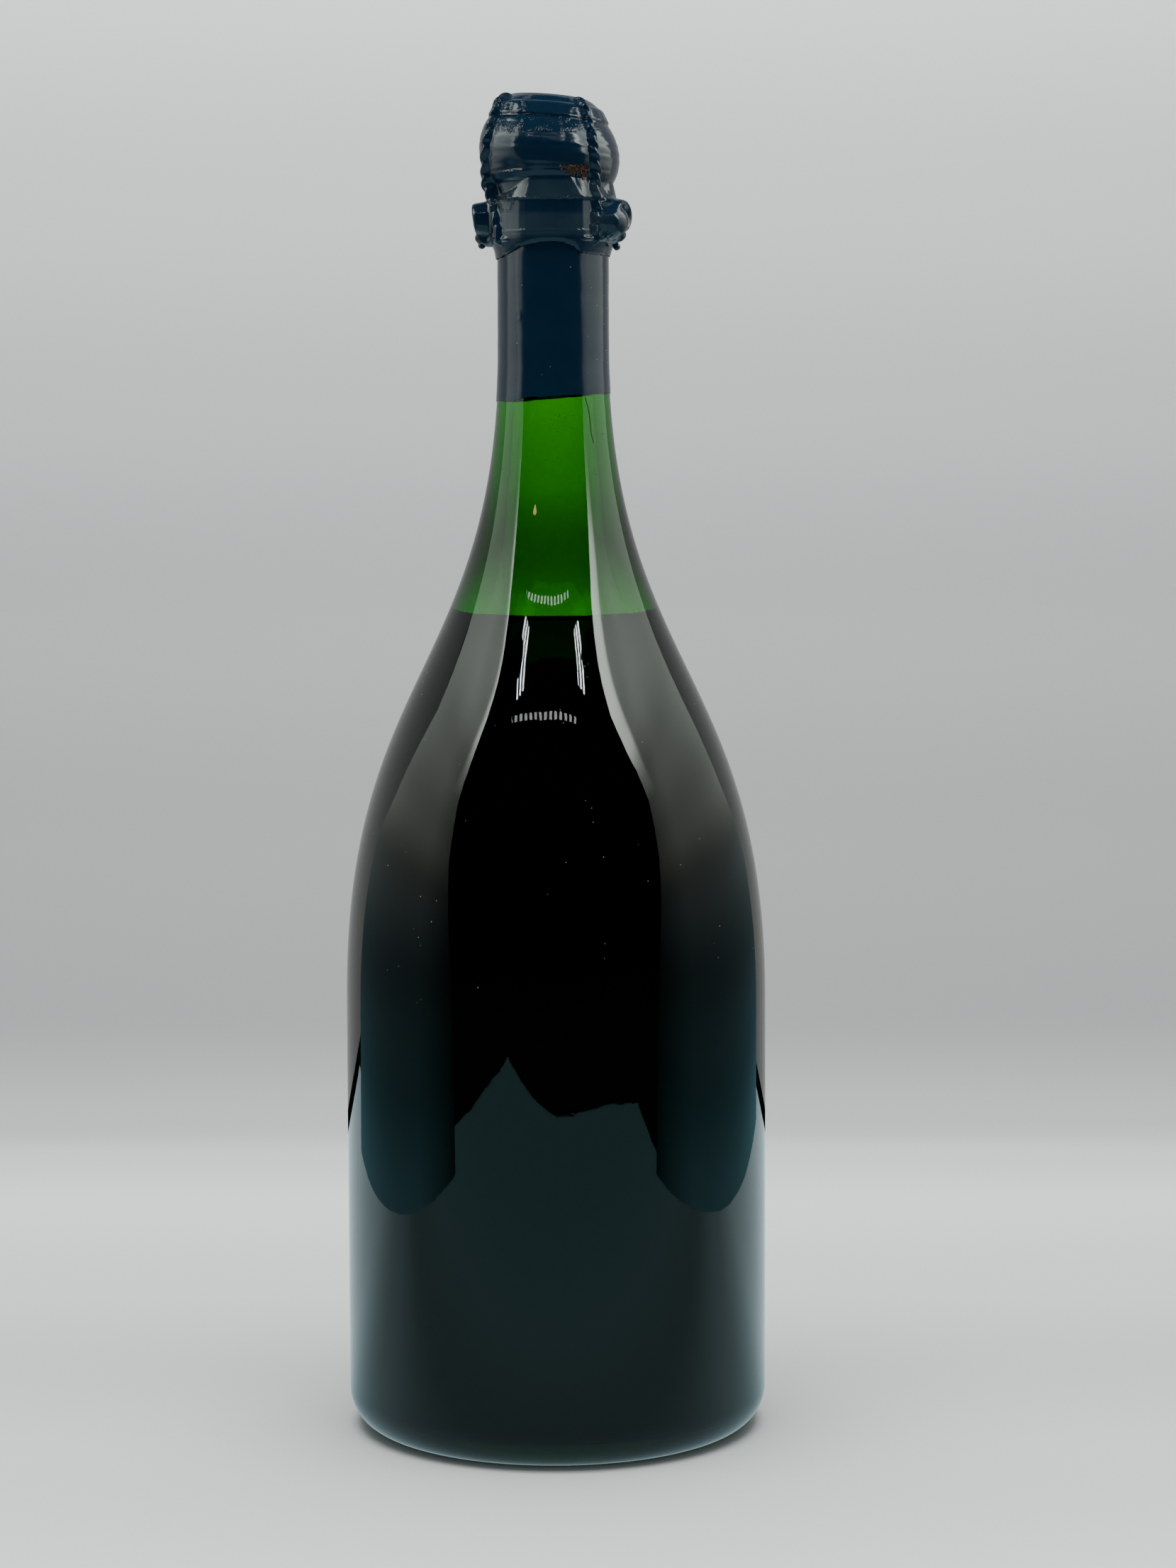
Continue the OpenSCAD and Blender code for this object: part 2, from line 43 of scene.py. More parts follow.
# Sizes in millimetres, as in the CAD source but for the twist's pitch, which is the photograph's
BODY_R, NECK_R, RING_R, BORE_R = 59.0, 15.25, 17.0, 8.75
GLASS_H, RING_LOW, STRAIGHT_H, NECK_START = 344.0, 334.0, 121.0, 306.0
WALL, FLOOR_T, FOOT_R, PUNT_R, HEEL_H, PUNT_H = 5.9, 7.0, 49.0, 46.8, 11.0, 40.0
FILL_H = 228.0
CORK_LOW, DISC_T, HEAD_LOW, HEAD_TOP = 320.0, 5.5, 344.3, 366.4
CAP_R, CAP_MIDDLE_R, GROOVE_Z, CAP_T = 16.5, 9.2, 369.55, 0.3
WIRE_D, BELT_WIRE_D, WIRE_GAP, TWIST_PITCH = 0.9, 1.1, 0.05, 7.2
BELT_R, BELT_IN_R, BELT_Z = 16.93, 15.9, 332.32
FOOT_ROUND, LEG_LOW_Z = 1.08, 335.4
LEG_AZIMUTHS, LEG_DRIFTS, LEG_BOWS = (-61, 34, 124, -146), (7, 12, -4, 5), (-14, 0, 3, -3)
EYELET = {"azimuth": 68, "width": 10.4, "lean": 3}
TAKE_UP = {"azimuth": -97, "width": 6.4, "lean": 8}
SHANK_LEN, EYELET_H, ROOT_LEN = 2.0, 7.6, 1.4
EYE_PAIR_R = (BELT_WIRE_D + WIRE_GAP) / 2
ROOT_START = BELT_R + BELT_WIRE_D / 2 + 3 * WIRE_GAP
HINGE_R = ROOT_START + ROOT_LEN + 2 * WIRE_GAP + EYE_PAIR_R + BELT_WIRE_D / 2


# Shape helpers

def mesh_object(name, verts, faces, edges=(), smooth=True):
    """A mesh object from points in millimetres."""
    data = bpy.data.meshes.new(name)
    data.from_pydata((np.asarray(verts, float) * MM).tolist(), list(edges), faces)
    data.update()
    if smooth:
        data.polygons.foreach_set("use_smooth", [True] * len(data.polygons))
    piece = bpy.data.objects.new(name, data)
    bpy.context.scene.collection.objects.link(piece)
    return piece


def polar(r, azimuth, z):
    """A point by its azimuth in degrees, counted from the front towards the right."""
    a = np.radians(azimuth)
    return np.stack(np.broadcast_arrays(r * np.sin(a), -r * np.cos(a), z), -1)


def lathe(name, profile, segments=160, sharp=None, shape=None):
    """A closed solid of revolution. Its outline runs up the outside and down the inside.
    shape(azimuth, r, z) may push each point about."""
    profile = np.asarray(profile, float)
    azimuths = np.arange(segments) * 360.0 / segments
    verts, rows = [], []
    for r, z in profile:
        here = azimuths[:1] if r < 1e-6 else azimuths
        far, high = (r, z) if shape is None else shape(here, r, z)
        rows.append(list(range(len(verts), len(verts) + len(here))))
        verts += polar(far * np.ones(len(here)), here, high * np.ones(len(here))).tolist()
    faces = []
    closed = rows + ([rows[0]] if len(rows[0]) > 1 and len(rows[-1]) > 1 else [])
    for low, high in zip(closed, closed[1:]):
        for s in range(segments):
            t = (s + 1) % segments
            if len(low) == 1 and len(high) == 1:
                break
            if len(low) == 1:
                faces.append((low[0], high[t], high[s]))
            elif len(high) == 1:
                faces.append((low[s], low[t], high[0]))
            else:
                faces.append((low[s], low[t], high[t], high[s]))
    piece = mesh_object(name, verts, faces)
    if sharp:
        piece.data.set_sharp_from_angle(angle=math.radians(sharp))
    return piece


def cubic(a, b, c, d, n):
    t = np.linspace(0, 1, n + 1)[:, None]
    a, b, c, d = (np.asarray(p, float) for p in (a, b, c, d))
    return (1 - t) ** 3 * a + 3 * (1 - t) ** 2 * t * b + 3 * (1 - t) * t * t * c + t ** 3 * d


def arc(centre, rx, ry, a0, a1, n):
    a = np.radians(np.linspace(a0, a1, n + 1))
    return np.stack([centre[0] + rx * np.cos(a), centre[1] + ry * np.sin(a)], 1)


def spline(points, n):
    """An even walk along a smooth line through points."""
    p = np.asarray(points, float)
    p = np.concatenate([p[:1], p, p[-1:]])
    fine = []
    for a, b, c, d in zip(p, p[1:], p[2:], p[3:]):
        for t in np.arange(0, 1, 0.05):
            fine.append(0.5 * (2 * b + (c - a) * t + (2 * a - 5 * b + 4 * c - d) * t ** 2
                               + (3 * b - a - 3 * c + d) * t ** 3))
    fine = np.array(fine + [p[-2]])
    run = np.concatenate([[0], np.cumsum(np.linalg.norm(np.diff(fine, axis=0), axis=1))])
    at = np.linspace(0, run[-1], n)
    return np.stack([np.interp(at, run, fine[:, i]) for i in range(fine.shape[1])], 1)


def shoulder(r_low, r_high, n=56):
    return cubic((r_low, STRAIGHT_H), (r_low, STRAIGHT_H + 94), (r_high, NECK_START - 93.5),
                 (r_high, NECK_START), n)


def smooth_step(x):
    x = np.clip(x, 0, 1)
    return x * x * (3 - 2 * x)


def wrapped(azimuth):
    return (np.asarray(azimuth) + 180) % 360 - 180


def hill(x, middle, width):
    return np.exp(-((x - middle) / width) ** 2)


def wander(x, seed, *scales):
    """A small uneven line: waves of several lengths with random starts."""
    starts = np.random.default_rng(seed).uniform(0, 6.28, len(scales))
    return sum(np.sin(np.asarray(x) * k + s) for k, s in zip(scales, starts)) / len(scales)


# Geometry Nodes helpers

def geometry_tree(name, inputs):
    """A Geometry Nodes tree with named number inputs, and its group input node."""
    tree = bpy.data.node_groups.new(name, "GeometryNodeTree")
    tree.interface.new_socket("Geometry", in_out="INPUT", socket_type="NodeSocketGeometry")
    for label, kind in inputs:
        tree.interface.new_socket(label, in_out="INPUT", socket_type="NodeSocket" + kind)
    tree.interface.new_socket("Geometry", in_out="OUTPUT", socket_type="NodeSocketGeometry")
    return tree, tree.nodes.new("NodeGroupInput")


def add(tree, kind, inputs=None, **settings):
    """A node, its settings, and its inputs: a socket to link or a value to set."""
    made = tree.nodes.new(kind)
    for key, value in settings.items():
        setattr(made, key, value)
    for key, value in (inputs or {}).items():
        target = made.inputs[key] if isinstance(key, int) else next(
            s for s in made.inputs if s.name == key and s.enabled)
        if isinstance(value, bpy.types.NodeSocket):
            tree.links.new(value, target)
        else:
            target.default_value = value
    return made


def result(node, name=None):
    return next(s for s in node.outputs if s.enabled and (name is None or s.name == name))


def close_tree(tree, geometry, finish):
    """Ends a tree in real, shaded geometry with its material."""
    real = add(tree, "GeometryNodeRealizeInstances", {"Geometry": geometry})
    soft = add(tree, "GeometryNodeSetShadeSmooth", {"Geometry": result(real)})
    skin = add(tree, "GeometryNodeSetMaterial", {"Geometry": result(soft)})
    skin.inputs["Material"].default_value = finish.material
    out = tree.nodes.new("NodeGroupOutput")
    tree.links.new(result(skin), out.inputs[0])


def grown(name, seed_piece, tree, values):
    """Runs a tree on a piece and keeps what it makes as a plain mesh."""
    modifier = seed_piece.modifiers.new("grow", "NODES")
    modifier.node_group = tree
    for item in tree.interface.items_tree:
        if item.item_type == "SOCKET" and item.in_out == "INPUT" and item.name in values:
            modifier[item.identifier] = values[item.name]
    seen = seed_piece.evaluated_get(bpy.context.evaluated_depsgraph_get())
    data = bpy.data.meshes.new_from_object(seen)
    data.name = name
    bpy.data.objects.remove(seed_piece)
    piece = bpy.data.objects.new(name, data)
    bpy.context.scene.collection.objects.link(piece)
    return piece


def tube_tree(name, finish):
    """Round wire along every line of edges."""
    tree, given = geometry_tree(name, [("Radius", "Float"), ("Sides", "Int")])
    line = add(tree, "GeometryNodeMeshToCurve", {"Mesh": given.outputs["Geometry"]})
    ring = add(tree, "GeometryNodeCurvePrimitiveCircle", {
        "Resolution": given.outputs["Sides"], "Radius": given.outputs["Radius"]})
    tube = add(tree, "GeometryNodeCurveToMesh", {
        "Curve": result(line), "Profile Curve": result(ring), "Fill Caps": True})
    close_tree(tree, result(tube), finish)
    return tree


def tubes(name, lines, radius, tree, sides=10, closed=False):
    """Wires along lines of points in millimetres."""
    verts, edges = [], []
    for line in lines:
        base, n = len(verts), len(line)
        verts += np.asarray(line).tolist()
        edges += [(base + i, base + i + 1) for i in range(n - 1)]
        if closed:
            edges.append((base + n - 1, base))
    path = mesh_object(name + "_path", verts, [], edges)
    return grown(name, path, tree, {"Radius": radius * MM, "Sides": sides})


def scatter_tree(name, finish, squash=(1, 1, 1), roughen=0.0, detail=1):
    """A small rounded grain on every point, turned to the point's way and sized at random."""
    tree, given = geometry_tree(name, [("Size", "Float"), ("Least", "Float"), ("Seed", "Int")])
    grain = add(tree, "GeometryNodeMeshIcoSphere", {"Radius": 1.0, "Subdivisions": detail})
    shaped = add(tree, "GeometryNodeTransform", {"Geometry": result(grain, "Mesh"), "Scale": squash})
    way = add(tree, "GeometryNodeInputNamedAttribute", {"Name": "way"}, data_type="FLOAT_VECTOR")
    facing = add(tree, "FunctionNodeAlignRotationToVector", {"Vector": result(way, "Attribute")},
                 axis="Z")
    least = add(tree, "ShaderNodeMath", {0: given.outputs["Least"], 1: given.outputs["Size"]},
                operation="MULTIPLY")
    size = add(tree, "FunctionNodeRandomValue", {
        "Min": result(least), "Max": given.outputs["Size"], "Seed": given.outputs["Seed"]},
        data_type="FLOAT")
    spread = add(tree, "GeometryNodeInstanceOnPoints", {
        "Points": given.outputs["Geometry"], "Instance": result(shaped),
        "Rotation": result(facing), "Scale": result(size)})
    spin = add(tree, "FunctionNodeRandomValue", {
        "Min": (0, 0, 0), "Max": (0, 0, 6.28), "Seed": given.outputs["Seed"]},
        data_type="FLOAT_VECTOR")
    turned = add(tree, "GeometryNodeRotateInstances", {
        "Instances": result(spread), "Rotation": result(spin)})
    last = result(turned)
    if roughen:
        real = add(tree, "GeometryNodeRealizeInstances", {"Geometry": last})
        lump = add(tree, "ShaderNodeTexNoise", {"Scale": 2500.0, "Detail": 1.0})
        centred = add(tree, "ShaderNodeVectorMath", {0: result(lump, "Color"), 1: (0.5, 0.5, 0.5)},
                      operation="SUBTRACT")
        moved = add(tree, "ShaderNodeVectorMath", {0: result(centred), "Scale": roughen * MM},
                    operation="SCALE")
        last = result(add(tree, "GeometryNodeSetPosition", {
            "Geometry": result(real), "Offset": result(moved)}))
    close_tree(tree, last, finish)
    return tree


def scattered(name, points, ways, tree, size, least=0.5, seed=1):
    """Grains on points in millimetres, each facing its way."""
    dots = mesh_object(name + "_points", points, [])
    way = dots.data.attributes.new("way", "FLOAT_VECTOR", "POINT")
    way.data.foreach_set("vector", np.asarray(ways, np.float32).ravel())
    return grown(name, dots, tree, {"Size": size * MM, "Least": least, "Seed": seed})


# Material helpers

class Finish:
    """A material with one Principled shader, and short ways to add and join nodes."""

    def __init__(self, name, **sockets):
        self.material = bpy.data.materials.new(name)
        self.material.use_nodes = True
        self.tree = self.material.node_tree
        self.tree.nodes.clear()
        self.output = self.tree.nodes.new("ShaderNodeOutputMaterial")
        self.shader = self.tree.nodes.new("ShaderNodeBsdfPrincipled")
        self.link(self.shader.outputs[0], self.output.inputs["Surface"])
        for socket, value in sockets.items():
            self.shader.inputs[socket.replace("_", " ")].default_value = value

    def link(self, source, target):
        self.tree.links.new(source, target)

    def node(self, kind, inputs=None, **settings):
        return add(self.tree, "ShaderNode" + kind, inputs, **settings)

    def place(self, scale=(1, 1, 1), shift=(0, 0, 0)):
        """Object coordinates, stretched and shifted."""
        at = self.node("TexCoord").outputs["Object"]
        return self.node("Mapping", {"Vector": at, "Scale": scale, "Location": shift}).outputs[0]

    def axis(self, name):
        return self.node("SeparateXYZ", {0: self.place()}).outputs[name]

    def azimuth(self):
        """Degrees from the front towards the right."""
        at = self.node("SeparateXYZ", {0: self.place()})
        front = self.maths("MULTIPLY", at.outputs["Y"], -1.0)
        turn = self.maths("ARCTAN2", at.outputs["X"], front)
        return self.maths("MULTIPLY", turn, 57.2958)

    def noise(self, scale, detail=2.0, rough=0.5, at=None, stretch=(1, 1, 1), distortion=0.0):
        return self.node("TexNoise", {
            "Vector": at or self.place(stretch), "Scale": scale, "Detail": detail,
            "Roughness": rough, "Distortion": distortion}).outputs["Fac"]

    def maths(self, operation, a, b=0.0, c=0.0, clamp=False):
        return self.node("Math", {0: a, 1: b, 2: c}, operation=operation, use_clamp=clamp).outputs[0]

    def span(self, value, low, high, to_low=0.0, to_high=1.0):
        """A value brought from one range to another, and held inside it."""
        return self.node("MapRange", {"Value": value, "From Min": low, "From Max": high,
                                      "To Min": to_low, "To Max": to_high}).outputs[0]

    def between(self, value, low, high, soft):
        """1 between low and high, fading out over soft."""
        return self.maths("MULTIPLY", self.span(value, low - soft, low),
                          self.span(value, high + soft, high))

    def ramp(self, value, stops):
        """Numbers or colours along a value from 0 to 1."""
        made = self.node("ValToRGB", {"Fac": value})
        made.color_ramp.interpolation = "B_SPLINE" if len(stops) > 9 else "EASE"
        while len(made.color_ramp.elements) < len(stops):
            made.color_ramp.elements.new(0.5)
        for element, (at, shade) in zip(made.color_ramp.elements, stops):
            element.position = at
            element.color = (*shade, 1) if isinstance(shade, tuple) else (shade, shade, shade, 1)
        return made.outputs["Color"]

    def mix(self, share, a, b, blend="MIX"):
        made = self.node("Mix", data_type="RGBA", blend_type=blend)
        for index, value in ((0, share), (6, a), (7, b)):
            if isinstance(value, bpy.types.NodeSocket):
                self.link(value, made.inputs[index])
            else:
                made.inputs[index].default_value = value
        return made.outputs[2]

    def bump(self, height, strength, distance, before=None):
        made = self.node("Bump", {"Height": height, "Strength": strength, "Distance": distance})
        if before:
            self.link(before, made.inputs["Normal"])
        return made.outputs[0]

    def set(self, socket, source):
        self.link(source, self.shader.inputs[socket])


def paint(piece, finish):
    piece.data.materials.clear()
    piece.data.materials.append(finish.material)


def place(piece, body, replaced=(), slot_name=None):
    """Gives a piece its body and hides the CAD nodes that it stands for. Its slot_name is not used."""
    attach(piece, body)
    if replaced:
        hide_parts(*replaced)
    return piece


# Camera, at the photograph's place: fitted to the bottle's axis, foot and fill line

def make_camera():
    data = bpy.data.cameras.new("camera")
    data.lens, data.sensor_width, data.clip_start, data.clip_end = 82.0, 36.0, 0.05, 50
    camera = bpy.data.objects.new("camera", data)
    bpy.context.scene.collection.objects.link(camera)
    pitch, roll = math.radians(90 - 4.776), math.radians(-0.2)
    turn = Matrix.Rotation(pitch, 4, "X") @ Matrix.Rotation(roll, 4, "Z")
    camera.matrix_world = Matrix.Translation((0.0092, -1.0, 0.2648)) @ turn
    bpy.context.scene.camera = camera


# Studio: a pale sweep, soft lights that only light, and cards that only show in reflections

SWEEP_BEND, SWEEP_ROUND, SWEEP_TOP = 0.42, 0.26, 2.6
WALL_X, LAMP_Z = 0.35, 0.62
WALL_FRONTS = {"left": [(-0.27, 0), (-0.25, 0.12), (-0.20, 0.25), (-0.19, 0.34), (-0.205, 0.42),
                        (-0.222, 0.485), (-0.252, 0.6), (-0.265, 0.75)],
               "right": [(-0.27, 0), (-0.25, 0.12), (-0.205, 0.25), (-0.20, 0.34), (-0.225, 0.41),
                         (-0.255, 0.46), (-0.312, 0.58), (-0.36, 0.75)]}
WALL_BACKS = {"left": [(0.05, 0.75), (0.088, 0.364), (0.165, 0.256), (0.24, 0.19), (0.28, 0)],
              "right": [(0.12, 0.75), (0.2, 0.4), (0.27, 0.25), (0.36, 0.17), (0.38, 0)]}


def make_sweep():
    a = np.linspace(0, math.pi / 2, 25)[1:]
    line = [(y, 0.0) for y in (-3.0, -0.9, -0.3, 0.0, 0.2, SWEEP_BEND)]
    line += [(SWEEP_BEND + SWEEP_ROUND * math.sin(t), SWEEP_ROUND * (1 - math.cos(t))) for t in a]
    line += [(SWEEP_BEND + SWEEP_ROUND, SWEEP_TOP)]
    verts, faces = [], []
    for y, z in line:
        verts += [(-2500, y * 1000, z * 1000), (2500, y * 1000, z * 1000)]
    for i in range(len(line) - 1):
        faces.append((2 * i, 2 * i + 1, 2 * i + 3, 2 * i + 2))
    sweep = mesh_object("studio_sweep", verts, faces)
    finish = Finish("pale_sweep", Roughness=0.7)
    finish.shader.inputs["Specular IOR Level"].default_value = 0.1
    at = finish.node("SeparateXYZ", {0: finish.place()})
    # painted shade: the wall's colour darkens towards the floor and the floor's colour rises and falls with
    # depth, standing in for how the light falls on an evenly pale sweep
    wall = finish.ramp(finish.span(at.outputs["Z"], -0.02, 0.52), [
        (0.0, 0.37), (0.09, 0.375), (0.24, 0.425), (0.42, 0.53), (0.6, 0.67), (0.78, 0.79),
        (1.0, 1.0)])
    floor = finish.ramp(finish.span(at.outputs["Y"], -0.2, 0.55), [
        (0.0, 0.92), (0.2, 0.76), (0.36, 0.65), (0.5, 0.75), (0.68, 0.86), (0.8, 0.73), (0.88, 0.54),
        (1.0, 0.39)])
    upright = finish.span(at.outputs["Y"], 0.53, 0.55)
    shade = finish.mix(upright, floor, wall)
    speck = finish.span(finish.noise(900, 3), 0.3, 0.7, 0.97, 1.0)
    finish.set("Base Color", finish.mix(1.0, finish.mix(1.0, shade, speck, "MULTIPLY"),
                                        (0.965, 1.0, 0.992, 1), "MULTIPLY"))
    # the sweep is clear from behind, so that the bottle's back can be looked at too
    behind = finish.node("NewGeometry").outputs["Backfacing"]
    clear = finish.node("BsdfTransparent").outputs[0]
    seen = finish.node("MixShader", {0: behind, 1: finish.shader.outputs[0], 2: clear})
    finish.link(seen.outputs[0], finish.output.inputs["Surface"])
    paint(sweep, finish)
    sweep.visible_glossy = False


def area_light(name, place, aim, size, power, colour=(1, 1, 1)):
    data = bpy.data.lights.new(name, "AREA")
    data.shape, data.size, data.size_y, data.energy, data.color = "RECTANGLE", *size, power, colour
    lamp = bpy.data.objects.new(name, data)
    bpy.context.scene.collection.objects.link(lamp)
    lamp.location = place
    lamp.rotation_euler = (Vector(aim) - Vector(place)).to_track_quat("-Z", "Y").to_euler()
    lamp.visible_glossy = False
    lamp.visible_camera = False


def card(name, corners, brightness, colour=(1, 1, 1), pattern=None):
    """A glowing sheet that only reflections see. Corners are in metres. pattern(finish) and
    colour(finish) may give node outputs for its brightness and colour."""
    sheet = mesh_object(name, np.array(corners) * 1000, [tuple(range(len(corners)))], smooth=False)
    sheet.visible_camera = sheet.visible_diffuse = sheet.visible_transmission = False
    sheet.visible_shadow = sheet.visible_volume_scatter = False
    finish = Finish(name)
    finish.tree.nodes.remove(finish.shader)
    strength = brightness
    if pattern:
        strength = finish.maths("MULTIPLY", pattern(finish), brightness)
    tint = colour(finish) if callable(colour) else (*colour, 1)
    glow = finish.node("Emission", {"Color": tint, "Strength": strength})
    finish.link(glow.outputs[0], finish.output.inputs["Surface"])
    paint(sheet, finish)


def wall_pattern(finish):
    """A tent wall: dark at the floor, bright near the lamps, brightest at its front edge."""
    at = finish.node("SeparateXYZ", {0: finish.place()})
    height = finish.ramp(finish.span(at.outputs["Z"], 0.0, 0.75), [
        (0.0, 0.11), (0.07, 0.06), (0.14, 0.045), (0.26, 0.09), (0.36, 0.22), (0.5, 0.36), (0.64, 0.75),
        (0.78, 1.0), (1.0, 1.0)])
    front = finish.maths("MULTIPLY_ADD", at.outputs["Z"], -0.345, -0.065)
    inside = finish.maths("SUBTRACT", at.outputs["Y"], front)
    edge = finish.ramp(finish.span(inside, 0.0, 0.5), [
        (0.0, 1.0), (0.03, 0.9), (0.08, 0.26), (0.3, 0.34), (0.6, 0.44), (1.0, 0.38)])
    fade = finish.span(at.outputs["Y"], -0.28, -0.1, 0.03, 0.36)
    strip = finish.mix(finish.span(at.outputs["Z"], 0.34, 0.46), fade, edge)
    return finish.maths("MULTIPLY", height, strip)


def wall_tint(finish):
    return finish.mix(finish.span(finish.axis("Z"), 0.04, 0.22), (0.36, 0.82, 1.0, 1),
                      (0.92, 1.0, 0.92, 1))


def small_lamps(across, along=None):
    """Small lamps, so many millimetres apart."""
    def pattern(finish):
        rows = [finish.maths("LESS_THAN", finish.maths("FRACT", finish.maths(
            "MULTIPLY", finish.axis(axis), 1000 / pitch)), 0.5)
            for axis, pitch in (("X", across), ("Y", along)) if pitch]
        return finish.maths("MULTIPLY", *rows) if len(rows) == 2 else rows[0]
    return pattern


def floor_glow(finish):
    """The floor is brighter at the sides of the bottle and behind it."""
    return finish.ramp(finish.span(finish.axis("Y"), -0.45, 0.35), [
        (0.0, 0.30), (0.3, 0.33), (0.45, 0.27), (0.55, 0.42), (0.7, 0.7), (1.0, 0.75)])


def floor_tint(finish):
    return finish.mix(finish.span(finish.axis("Y"), -0.3, 0.1), (0.46, 0.90, 1.0, 1),
                      (0.72, 0.94, 1.0, 1))


def make_cards():
    for side, x in (("left", -WALL_X), ("right", WALL_X)):
        card("wall_" + side, [(x, y, z) for y, z in WALL_BACKS[side] + WALL_FRONTS[side]], 12.0,
             wall_tint, wall_pattern)
    floor = [(0.5, 0.45), (0.46, 0.3), (0.415, 0.13), (0.385, -0.03), (0.378, -0.17), (0.40, -0.32),
             (0.425, -0.46), (0.30, -0.555), (0.17, -0.588), (0.02, -0.597), (-0.10, -0.62),
             (-0.22, -0.665), (-0.32, -0.70), (-0.40, -0.52), (-0.45, -0.33), (-0.40, -0.22),
             (-0.388, -0.13), (-0.42, -0.05), (-0.466, 0.02), (-0.5, 0.2), (-0.5, 0.45)]
    card("floor_sheet", [(x, y, -0.001) for x, y in floor], 1.65, floor_tint, floor_glow)
    card("back_wall", [(-2.5, 0.5, 0.0), (2.5, 0.5, 0.0), (2.5, 0.6, 1.2), (-2.5, 0.6, 1.2)], 0.42,
         (0.95, 1.0, 0.98))
    lamps = {"left": ((-0.266, -0.376), (-0.206, -0.350)), "right": ((0.164, -0.386), (0.216, -0.362))}
    for side, ((x0, y0), (x1, y1)) in lamps.items():
        card("lamp_panel_" + side, [(x0, y0, LAMP_Z), (x1, y0, LAMP_Z), (x1, y1, LAMP_Z),
                                    (x0, y1, LAMP_Z)], 70, pattern=small_lamps(20, 2.2))
    row = [(-0.292, -0.395), (-0.18, -0.425), (-0.072, -0.442), (0.05, -0.444), (0.15, -0.440)]
    card("lamp_row", [(x, y, LAMP_Z) for x, y in row] + [(x, y - 0.016, LAMP_Z) for x, y in row[::-1]],
         7, pattern=small_lamps(34))


def make_world():
    world = bpy.data.worlds.new("studio_air")
    bpy.context.scene.world = world
    world.use_nodes = True
    tree = world.node_tree
    tree.nodes.clear()
    path = add(tree, "ShaderNodeLightPath")
    pale = add(tree, "ShaderNodeBackground", {"Color": (0.55, 0.60, 0.60, 1), "Strength": 0.6})
    dim = add(tree, "ShaderNodeBackground", {"Color": (0.4, 0.6, 0.8, 1), "Strength": 0.006})
    join = add(tree, "ShaderNodeMixShader", {0: path.outputs["Is Glossy Ray"], 1: result(pale),
                                             2: result(dim)})
    out = tree.nodes.new("ShaderNodeOutputWorld")
    tree.links.new(result(join), out.inputs["Surface"])


def make_studio():
    make_sweep()
    make_cards()
    make_world()
    area_light("top_light", (0, -0.15, 1.35), (0, 0.05, 0), (1.0, 1.0), 18)
    area_light("back_wall_light", (0, -0.1, 1.6), (0, 0.75, 0.9), (1.6, 0.4), 11)


# Glass and wine

def glass_profile():
    outside = np.concatenate([
        [[PUNT_R, 0]], arc((FOOT_R, HEEL_H), BODY_R - FOOT_R, HEEL_H, -90, 0, 16),
        shoulder(BODY_R, NECK_R, 96),
        [[NECK_R, RING_LOW - 0.4], [NECK_R + 0.15, RING_LOW - 0.12], [NECK_R + 0.4, RING_LOW],
         [RING_R - 0.4, RING_LOW], [RING_R - 0.12, RING_LOW + 0.12], [RING_R, RING_LOW + 0.4]],
        arc((RING_R - 1.6, GLASS_H - 1.6), 1.6, 1.6, 0, 90, 10),
        arc((BORE_R + 0.8, GLASS_H - 0.8), 0.8, 0.8, 90, 180, 6),
        [[BORE_R, GLASS_H - 26]]])
    under = cubic((PUNT_R, 0), (PUNT_R - 10, PUNT_H * 0.55), (PUNT_R * 0.45, PUNT_H), (0, PUNT_H), 28)
    return np.concatenate([under[::-1], outside[1:], cavity(0.0)[::-1]])


def cavity(gap):
    """The inside of the glass, drawn in by a gap, from the middle of its floor to the bore.
    The wall is thickest where the shoulder runs into the neck."""
    low, side = FLOOR_T + gap, BODY_R - WALL - gap
    valley_r = PUNT_R - 2.8
    bend = (BODY_R - WALL - valley_r) / 2
    floor = cubic((valley_r + gap, low + bend), (valley_r + gap, PUNT_H * 0.55 + low),
                  (PUNT_R * 0.45, PUNT_H + low), (0, PUNT_H + low), 28)[::-1]
    wall = shoulder(side, 9.5 - gap, 96)
    wall[:, 0] += 1.0 * hill(wall[:, 1], 288, 17) - 3.6 * hill(wall[:, 1], 241, 16)
    return np.concatenate([floor, arc((side - bend + gap, low + bend), bend - gap, bend, 180, 360, 16),
                           wall])


def outside_radius(z):
    """The glass's outer radius at a height on the shoulder or neck."""
    curve = shoulder(BODY_R, NECK_R, 96)
    return np.interp(z, curve[:, 1], curve[:, 0])


def make_glass():
    glass = lathe("green_glass_bottle", glass_profile(), 192, sharp=50)
    finish = Finish("green_bottle_glass", Base_Color=(1, 1, 1, 1), Roughness=0.0, IOR=1.52,
                    Transmission_Weight=1.0)
    peel = finish.noise(260, 3, 0.6)
    fine = finish.noise(1100, 2, 0.5)
    swell = finish.noise(38, 2, 0.5, stretch=(1, 1, 0.6))
    height = finish.maths("ADD", finish.maths("MULTIPLY", peel, 0.05),
                          finish.maths("ADD", finish.maths("MULTIPLY", fine, 0.01), swell))
    finish.set("Normal", finish.bump(height, 0.15, 0.0004))
    stain = finish.node("VolumeAbsorption", {"Color": (0.41, 0.825, 0.12, 1), "Density": 700.0})
    finish.link(stain.outputs[0], finish.output.inputs["Volume"])
    paint(glass, finish)
    place(glass, "bottle", ["glass_bottle"], "green_glass")


